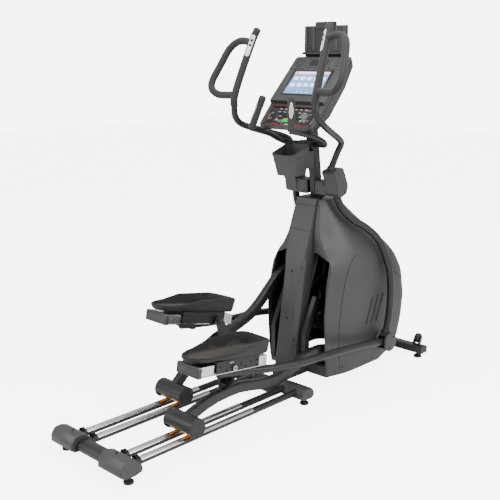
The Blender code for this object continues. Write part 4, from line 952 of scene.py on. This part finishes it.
def buildBodySeams():
    # two joints on the spine's cap, one round the console, and the cup holder's rim and band
    s = jointSizes
    level = Vector((0, 0, 1))
    seamAround("spineSeams", "spine_cover", [((0, 0, z), level) for z in s["spineHeights"]], 0.0010,
               "seamShadow")
    split = [(onConsole(0.2, 0, s["consoleDepth"]), consoleUp)]
    seamAround("consoleSplit", "console_housing", split, 0.0011, "seamShadow")
    slope = Vector(s["rimSlope"]).normalized()
    for part in ("rim", "band"):
        cut = [((s["rimRear"], 0, s[part + "Height"]), slope)]
        seamAround("cupHolder" + part.title(), "cup_holder", cut, s[part + "Radius"], "mouldedAbsCharcoal")


rackSizes = {
    # each upright's low y, high y and rear face
    "uprights": (("Rail", 0.1100, 0.1270, 0.4355), ("Post", 0.0640, 0.0780, 0.4375)),
    "uprightFront": 0.4415, "uprightHeights": (1.6640, 1.7840),
    "ribsX": 0.4408, "ribsY": (-0.112, -0.100, 0.100, 0.112), "ribHeights": (1.670, 1.778),
    "ribRadius": 0.0014,
    "clampX": 0.4226, "clampY": (-0.036, -0.018, 0.0, 0.018, 0.036), "clampHeights": (1.7745, 1.7990),
    "clampRadius": 0.0010,
}


def buildRackRibs():
    # moulded edges of the tablet rack and its spring clamp
    s = rackSizes
    box = [(0, 1, 3, 2), (4, 5, 7, 6), (0, 1, 5, 4), (2, 3, 7, 6), (0, 2, 6, 4), (1, 3, 7, 5)]
    for name, side in sides.items():
        for part, y0, y1, x0 in s["uprights"]:
            corners = [(x, side * y, z) for x in (x0, s["uprightFront"]) for y in (y0, y1)
                       for z in s["uprightHeights"]]
            makePiece("rack" + part + name.title(), corners, box, finish["mouldedAbsCharcoal"], "base", 30,
                      0.0012)
    low, high = s["ribHeights"]
    x, ys = s["ribsX"], s["ribsY"]
    lines = [[(x, y, low), (x, y, high)] for y in ys] + [[(x, ys[0], high), (x, ys[-1], high)]]
    beads("rackRibs", lines, s["ribRadius"], "mouldedAbsCharcoal", "base", 6)
    grips = [[(s["clampX"], y, z) for z in s["clampHeights"]] for y in s["clampY"]]
    beads("clampRibs", grips, s["clampRadius"], "mouldedAbsCharcoal", "tablet_clamp", 6)


buildBodySeams()
buildRackRibs()
buildKeypad()
buildScreen()
buildConsoleTop()
print("console face built")


def coverShell(name, outline, grow, yLow, yHigh, material, body, r, edge=0.004):
    middle = (sum(p[0] for p in outline) / len(outline), sum(p[1] for p in outline) / len(outline))
    rings = []
    for y in (yLow, yHigh):
        ring = []
        for x, z in outline:
            reach = math.hypot(x - middle[0], z - middle[1])
            ring.append((x + (x - middle[0]) / reach * grow, y, z + (z - middle[1]) / reach * grow))
        rings += place(ring, r["pivot"], r["swing"], r["side"])
    return makePiece(name, rings, loftFaces(2, len(outline)), finish[material], body, 30, edge)


def stepped(name, centre, side, rows, material, body, sharpAngle):
    # a round piece turned about Y, from rows of y and radius
    around = [2 * math.pi * k / 48 for k in range(48)]
    points = [Vector((centre[0] + reach * math.cos(a), side * y, centre[1] + reach * math.sin(a)))
              for y, reach in rows for a in around]
    return makePiece(name, points, loftFaces(len(rows), 48), finish[material], body, sharpAngle)


swingSizes = {
    "tube": 0.0184,
    "path": [(0.002, 0.130, -0.012), (0.010, 0.138, -0.055), (0.033, 0.152, -0.106), (0.082, 0.174, -0.158),
             (0.160, 0.208, -0.210), (0.222, 0.239, -0.276), (0.262, 0.260, -0.370), (0.288, 0.273, -0.470),
             (0.283, 0.283, -0.620), (0.262, 0.285, -0.730), (0.250, 0.285, -0.765)],
    "block": [(-0.066, 0.080), (-0.060, 0.092), (0.000, 0.106), (0.008, 0.102), (0.046, 0.024),
              (0.048, 0.010),
              (0.042, -0.018), (0.034, -0.026), (0.000, -0.038), (-0.024, -0.034), (-0.034, -0.022),
              (-0.036, 0.026)],
    "blockY": (0.0917, 0.1690), "sleeveY": (0.0255, 0.0930),
    "sleeve": [(-0.035, -0.036), (0.035, -0.036), (0.035, 0.036), (-0.035, 0.036)],
    "collar": [(-0.040, 0.1262, 0.092), (-0.034, 0.1295, 0.110)], "collarRadius": 0.0215,
    "neck": [(0.2535, 0.2855, -0.752), (0.2455, 0.2865, -0.788)], "neckRadius": 0.0235,
    "caps": (("Outer", 0.3170, 0.3285), ("Inner", 0.2635, 0.2730)), "capRadius": 0.0495,
    "screw": 0.0042, "elbowScrews": (0.032, (0.9, 4.2)), "elbowFace": 0.3285,
    "sideScrews": [(0.020, 0.169, 0.070), (0.020, 0.169, -0.014)],
    "rearScrews": [(-0.035, 0.080, 0.022), (-0.035, 0.045, -0.018)],
}


def buildSwingArms():
    s = swingSizes
    for name, r in rest.items():
        label, body, side = name.title(), "swing_" + name, r["side"]

        def placed(line):
            return place(s[line], r["pivot"], r["swing"], side)

        tube = sweep(flowing(placed("path"), 7), s["tube"], 28)
        makePiece("swingTube" + label, *tube, finish["powderCoatBlack"], body)
        coverShell("pivotCover" + label, s["block"], 0.0012, *s["blockY"], "mouldedAbsCharcoal", body, r,
                   0.005)
        coverShell("pivotSleeve" + label, s["sleeve"], 0.0, *s["sleeveY"], "mouldedAbsCharcoal", body, r,
                   0.006)
        collar = sweep(placed("collar"), s["collarRadius"], 28)
        makePiece("stemCollar" + label, *collar, finish["mouldedAbsDark"], body, 35, 0.002)
        neck = sweep(placed("neck"), s["neckRadius"], 28)
        makePiece("elbowNeck" + label, *neck, finish["mouldedAbsDark"], body, 35, 0.003)
        wide = s["capRadius"]
        for part, y0, y1 in s["caps"]:
            rows = ((y0, wide - 0.0005), (y0 + 0.0015, wide), (y1 - 0.0035, wide),
                    (y1 - 0.0010, wide - 0.0020),
                    (y1, wide - 0.0060))
            stepped("elbowCap" + part + label, r["elbow"], side, rows, "mouldedAbsCharcoal", body, 35)
        (ex, ez), (reach, angles) = r["elbow"], s["elbowScrews"]
        spots = [(Vector((ex + reach * math.cos(a), side * s["elbowFace"], ez + reach * math.sin(a))),
                  (0, side, 0))
                 for a in angles]
        screws("elbowScrews" + label, spots, body, s["screw"])
        spots = [(p, (0, side, 0)) for p in placed("sideScrews")]
        spots += [(p, (-1, 0, 0)) for p in placed("rearScrews")]
        screws("pivotScrews" + label, spots, body, s["screw"])


linkSizes = {
    "tube": 0.0184,
    "path": [(-0.140, 0.166, -0.0435), (-0.060, 0.178, -0.0435), (0.030, 0.196, -0.0435),
             (0.130, 0.222, -0.0435),
             (0.300, 0.258, -0.034), (0.480, 0.282, -0.014), (0.640, 0.289, -0.003), (0.780, 0.294, 0.0),
             (0.915, 0.294, 0.0)],
    "capRows": ((-0.3135, -0.003), (-0.3120, 0.0), (-0.2950, 0.0)),
    "capBox": (-0.0250, 0.0235, 0.0855, 0.2245),
    "capCorner": 0.004, "ridgeX": -0.3136, "ridge": (-0.0165, 0.0155, 0.0930, 0.2170, 0.003),
    "ridgeRadius": 0.0009,
    "screws": [(0.098, 0.2183, 0.006), (-0.284, 0.2183, 0.006), (0.098, 0.2183, -0.010)], "screw": 0.0040,
}


def buildLinks():
    s = linkSizes
    for name, r in rest.items():
        label, body = name.title(), "pedal_link_" + name
        where = (r["pedal"], r["lean"], r["side"])
        tube = sweep(flowing(place(s["path"], *where), 7), s["tube"], 28, domed=(0.004, 0.0))
        makePiece("linkTube" + label, *tube, finish["powderCoatBlack"], body)
        # moulded end cap of the pedal rail, with its ridge
        low, high, near, far = s["capBox"]
        cap = []
        for x, grow in s["capRows"]:
            ring = roundedCorners(low - grow, high + grow, near - grow, far + grow, s["capCorner"], 3)
            cap += place([(x, y, z) for z, y in ring], *where)
        makePiece("railCap" + label, cap, loftFaces(3, 16), finish["mouldedAbsCharcoal"], body, 30, 0.0008)
        ridge = place([(s["ridgeX"], y, z) for z, y in roundedCorners(*s["ridge"], 3)], *where)
        beads("railCapRidge" + label, [ridge + [ridge[0]]], s["ridgeRadius"], "mouldedAbsDark", body, 6)
        spots = [(p, Vector((0, r["side"], 0)), (1, 0, 0), (1, 1, 1)) for p in place(s["screws"], *where)]
        screws("railScrews" + label, spots, body, s["screw"], "zincScrew")


trackSizes = {
    "path": [(0.0, 0.012), (0.070, 0.034), (0.180, 0.058), (0.330, 0.060), (0.480, 0.030), (0.590, 0.022),
             (0.700, 0.044),
             (0.810, 0.074), (0.920, 0.076), (1.030, 0.044), (1.125, 0.0055)],
    "armY": 0.145, "half": (0.0189, 0.0239), "lean": {"right": -0.016405, "left": -0.43428},
    # dark end discs of the wheel housing
    "discs": (("Outer", 0.2296, 0.2315), ("Inner", 0.0604, 0.0585)), "discRadii": (0.0449, 0.0440),
}


def buildTrackArms():
    s = trackSizes
    for name, r in rest.items():
        label, body = name.title(), "track_arm_" + name
        line = place([(x, s["armY"], z) for x, z in s["path"]], r["wheel"], s["lean"][name], r["side"])
        bar = sweep(flowing(line, 7), 0.0, 32, flat=s["half"])
        makePiece("trackBar" + label, *bar, finish["powderCoatBlack"], body, 50)
        for part, y0, y1 in s["discs"]:
            rows = tuple(zip((y0, y1), s["discRadii"]))
            stepped("housingDisc" + part + label, r["wheel"], r["side"], rows, "filledNylonBlack", body, 30)


pulseSizes = {
    "path": [(0.3400, 0.0240, 1.222), (0.325, 0.065, 1.222), (0.300, 0.122, 1.226), (0.262, 0.146, 1.245),
             (0.200, 0.146, 1.272), (0.120, 0.138, 1.292), (0.053, 0.1255, 1.308)],
    "tube": 0.0134, "gripLow": (0.0525, 0.1240, 1.3085), "gripHigh": (0.0922, 0.0895, 1.4520),
    "sleeve": 0.0172,
    "rings": (0.0, 0.1, 0.3, 0.6, 0.9, 1.0), "facing": (-0.72, 0.62, 0.28), "plateAt": 0.60,
    "plateHalf": (0.040, 0.0118),
    # finish, size and height above the foam
    "layers": (("Rim", "seamShadow", 1.14, 0.0004), ("Plate", "brushedSteel", 1.0, 0.0010)), "thick": 0.0012,
}


def buildPulseBar():
    s = pulseSizes
    halfAlong, halfAcross = s["plateHalf"]
    for name, side in sides.items():
        label = name.title()
        line = flowing([(x, side * y, z) for x, y, z in s["path"]], 8)
        tube = sweep(line, s["tube"], 24, domed=(0, 0.003))
        makePiece("pulseTube" + label, *tube, finish["powderCoatBlack"], "base")
        low, high, facing = [Vector((x, side * y, z))
                             for x, y, z in (s["gripLow"], s["gripHigh"], s["facing"])]
        way = (high - low).normalized()
        sleeve = sweep([low + (high - low) * t for t in s["rings"]], s["sleeve"], 32, domed=(0.002, 0.008))
        makePiece("pulseSleeve" + label, *sleeve, finish["nitrileFoam"], "base", 50)
        # oval steel contact on the outer rear face of each grip, under the palm
        facing = (facing - way * facing.dot(way)).normalized()
        across = way.cross(facing)
        middle = low + (high - low) * s["plateAt"]
        for part, material, grow, proud in s["layers"]:
            points = []
            for ringSize in (1.0, 0.75, 0.5, 0.25):
                reach = s["sleeve"] + proud * (1.0 if ringSize < 1 else 0.2)
                for k in range(40):
                    a = 2 * math.pi * k / 40
                    turn = halfAcross * grow * ringSize * math.sin(a) / s["sleeve"]
                    outward = across * reach * math.sin(turn) + facing * reach * math.cos(turn)
                    points.append(middle + way * (halfAlong * grow * ringSize * math.cos(a)) + outward)
            points.append(middle + facing * (s["sleeve"] + proud))
            faces = []
            for ring in range(3):
                for k in range(40):
                    n = (k + 1) % 40
                    faces.append((ring * 40 + k, ring * 40 + n, (ring + 1) * 40 + n, (ring + 1) * 40 + k))
            faces += [(120 + k, 120 + (k + 1) % 40, 160) for k in range(40)]
            mesh = bpy.data.meshes.new("pulse" + part + label)
            mesh.from_pydata([tuple(p) for p in points], [], faces)
            if sum(p.normal.dot(facing) for p in mesh.polygons) < 0:
                mesh.flip_normals()
            piece = putIn("pulse" + part + label, mesh, finish[material], "base", 60)
            thick = piece.modifiers.new("plate", "SOLIDIFY")
            thick.thickness = s["thick"]
            thick.offset = -1.0


buildSwingArms()
buildLinks()
buildTrackArms()
buildPulseBar()
print("arms and bars built")

padSizes = {"rear": -0.335, "front": 0.108, "half": 0.083, "middle": 0.155, "floor": 0.0358,
            "rim": [(-0.335, 0.005), (-0.280, 0.007), (-0.190, 0.015), (-0.080, 0.045), (0.010, 0.058),
                    (0.108, 0.054)],
            "outerRim": [(-0.335, 0.005), (-0.280, 0.005), (-0.190, 0.006), (-0.080, 0.016), (0.010, 0.040),
                         (0.108, 0.054)],
            # the tub's section, from its underside over the rim and down: growth, height, share of rim
            "section": ((-0.012, 0.0, 0), (-0.006, 0.003, 0), (-0.001, 0.012, 0), (0.001, 0.012, 0.5),
                        (0.0025, 0.012, 0.92),
                        (0.0032, 0.012, 1.0), (0.0015, 0.0133, 1.0), (-0.0012, 0.0130, 1.0),
                        (-0.0026, 0.012, 0.9),
                        (-0.0040, 0.012, 0.45), (-0.0060, 0.0125, 0.0), (-0.0105, 0.0098, 0.0),
                        (-0.0160, 0.0092, 0.0)),
            "mat": ((-0.022, 0.0102), (-0.0235, 0.0112)), "matEdge": (-0.0225, 0.0108), "edgeRadius": 0.0019,
            "ribs": 15, "firstRib": 0.050, "ribStep": 0.0255, "ribHalf": (0.060, 0.0585), "ribBow": 0.026,
            "ribShift": 0.012,
            "ribRadius": 0.0030}


def padOutline(grow):
    s = padSizes
    rear, front, half = s["rear"] - grow, s["front"] + grow, s["half"] + grow
    ring = []
    for k in range(9):
        a = math.pi / 2 + math.pi * k / 8
        ring.append((rear + 0.115 + 0.115 * math.cos(a), s["middle"] + half * 0.84 * math.sin(a)))
    ring.append((rear + 0.22, s["middle"] - half))
    for k in range(5):
        a = -math.pi / 2 + math.pi / 2 * k / 4
        ring.append((front - 0.030 + 0.030 * math.cos(a), s["middle"] - half + 0.030 + 0.030 * math.sin(a)))
    for k in range(5):
        a = math.pi / 2 * k / 4
        ring.append((front - 0.030 + 0.030 * math.cos(a), s["middle"] + half - 0.030 + 0.030 * math.sin(a)))
    ring.append((rear + 0.22, s["middle"] + half))
    # resample the closed ring finely and evenly
    loop = [Vector((x, y, 0)) for x, y in ring]
    n = len(loop)
    fine = []
    for k in range(n):
        a, b, c, d = loop[k - 1], loop[k], loop[(k + 1) % n], loop[(k + 2) % n]
        for step in range(4):
            t = step / 4
            fine.append(between(a, b, c, d, t))
    return [(p.x, p.y) for p in fine]


def rimRise(x, y):
    # the wall's height, eased between the table's rows; the outer wall starts lower than the inner one
    outward = min(1.0, max(0.0, (y - padSizes["middle"]) / 0.05))
    total = 0.0
    for d in (-0.03, -0.015, 0, 0.015, 0.03):
        at = min(max(x + d, -0.335), 0.108)
        total += along(padSizes["rim"], at, 1) * (1 - outward) + along(padSizes["outerRim"], at, 1) * outward
    return total / 5


def buildFootpads():
    s = padSizes
    floor = s["floor"]
    for name, r in rest.items():
        label, body = name.title(), "pedal_" + name
        where = (r["pedal"], r["lean"], r["side"])

        def ringAt(grow, height):
            return place([(x, y, floor + height) for x, y in padOutline(grow)], *where)

        points = []
        for grow, height, share in s["section"]:
            row = [(x, y, floor + height + share * rimRise(x, y)) for x, y in padOutline(grow)]
            points += place(row, *where)
        count = len(row)
        tub = loftFaces(len(s["section"]), count)
        pad = makePiece("footpadTub" + label, points, tub, finish["mouldedRubber"], body, 55)
        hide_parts("footpad_" + name)
        # inset mat, with its raised edge and fanned ribs
        points = ringAt(*s["mat"][0]) + ringAt(*s["mat"][1])
        makePiece("ribbedMat" + label, points, loftFaces(2, count), finish["ribbedInsert"], body, 40)
        edge = ringAt(*s["matEdge"])
        beads("matEdge" + label, [edge + [edge[0]]], s["edgeRadius"], "mouldedRubber", body, 8)
        ribs = []
        for k in range(s["ribs"]):
            fromHeel = s["firstRib"] + s["ribStep"] * k
            half = s["ribHalf"][0] if fromHeel < 0.10 else s["ribHalf"][1]
            spread = half * min(1.0, fromHeel / 0.10) ** 0.6 * 0.92
            line = []
            for j in range(13):
                t = -1 + j / 6
                x = s["rear"] + fromHeel + s["ribBow"] * (1 - t * t) - s["ribShift"]
                line.append((x, s["middle"] + t * spread, floor + 0.0113))
            ribs.append(place(line, *where))
        beads("matRibs" + label, ribs, s["ribRadius"], "ribbedInsert", body, 8)


carriageSizes = {
    "outer": 0.2271, "bolt": 0.0042,
    "bolts": ((-0.190, 0.012), (-0.150, -0.008), (-0.060, 0.010), (-0.030, -0.006), (0.000, 0.012),
              (0.038, 0.014),
              (0.038, -0.008)),
    "knob": (-0.105, 0.2345, -0.002), "knobStep": 0.0013,
    "knobRing": {"Sides": 28, "Top radius": 0.0115, "Base radius": 0.0125, "Depth": 0.0024},
    "knobCentre": {"Sides": 20, "Top radius": 0.0052, "Base radius": 0.0060, "Depth": 0.0012},
    # the pale window that shows the pad's position
    "windowX": (-0.135, -0.110), "windowZ": 0.0235, "windowRadius": 0.0022,
}


def buildCarriages():
    s = carriageSizes
    for name, r in rest.items():
        label, body, across = name.title(), "pedal_" + name, (0, r["side"], 0)
        where = (r["pedal"], r["lean"], r["side"])
        spots = place([(x, s["outer"], z) for x, z in s["bolts"]], *where)
        screws("carriageBolts" + label, [(p, across) for p in spots], body, s["bolt"])
        knob = place([s["knob"]], *where)[0]
        fittings("knobRing" + label, [(knob, across)], s["knobRing"], finish["zincScrew"], body)
        centre = knob + Vector(across) * s["knobStep"]
        fittings("knobCentre" + label, [(centre, across)], s["knobCentre"], finish["seamShadow"], body)
        window = place([(x, s["outer"] + 0.0002, s["windowZ"]) for x in s["windowX"]], *where)
        beads("positionWindow" + label, [window], s["windowRadius"], "printedGrey", body, 8)


buildFootpads()
buildCarriages()
print("foot pads built")


frameSizes = {
    "capScrews": ((-1.008, 0.150, 0.1115), (0.070, 0.165, 0.0866)), "capScrew": 0.0050,
    "railY": (0.107, 0.183),
    # clamps where each rail meets the rear cross tube
    "clampX": -0.948, "clampZ": 0.0765,
    "clamp": {"Sides": 24, "Top radius": 0.0115, "Base radius": 0.0135, "Depth": 0.018},
    "trackX": (-0.900, -0.290), "trackZ": 0.0768, "trackScrew": 0.0034,
    "spineBack": ((0.2155, 0.60), (0.181, 0.36)), "spineSide": ((0.2290, 0.62), (0.1740, 0.26)),
    "spineY": 0.053,
    "spineScrew": 0.0050,
}


def buildFrameFittings():
    s = frameSizes
    up = (0, 0, 1)
    for name, side in sides.items():
        label = name.title()
        screws("capScrews" + label, [((x, side * y, z), up) for x, y, z in s["capScrews"]], "base",
               s["capScrew"])
        clamps = [((s["clampX"], side * y, s["clampZ"]), (1, 0, 0)) for y in s["railY"]]
        fittings("railClamps" + label, clamps, s["clamp"], finish["blackOxideScrew"], "base")
        rivets = [((x, side * y, s["trackZ"]), up) for y in s["railY"] for x in s["trackX"]]
        screws("trackScrews" + label, rivets, "base", s["trackScrew"], "zincScrew")
    spots = [((x, 0.0, z), (-1, 0, 0.15)) for x, z in s["spineBack"]]
    spots += [((x, side * s["spineY"], z), (-0.6, side * 0.8, 0))
              for side in (1, -1) for x, z in s["spineSide"]]
    screws("spineScrews", spots, "base", s["spineScrew"])


buildFrameFittings()
print("fittings built")
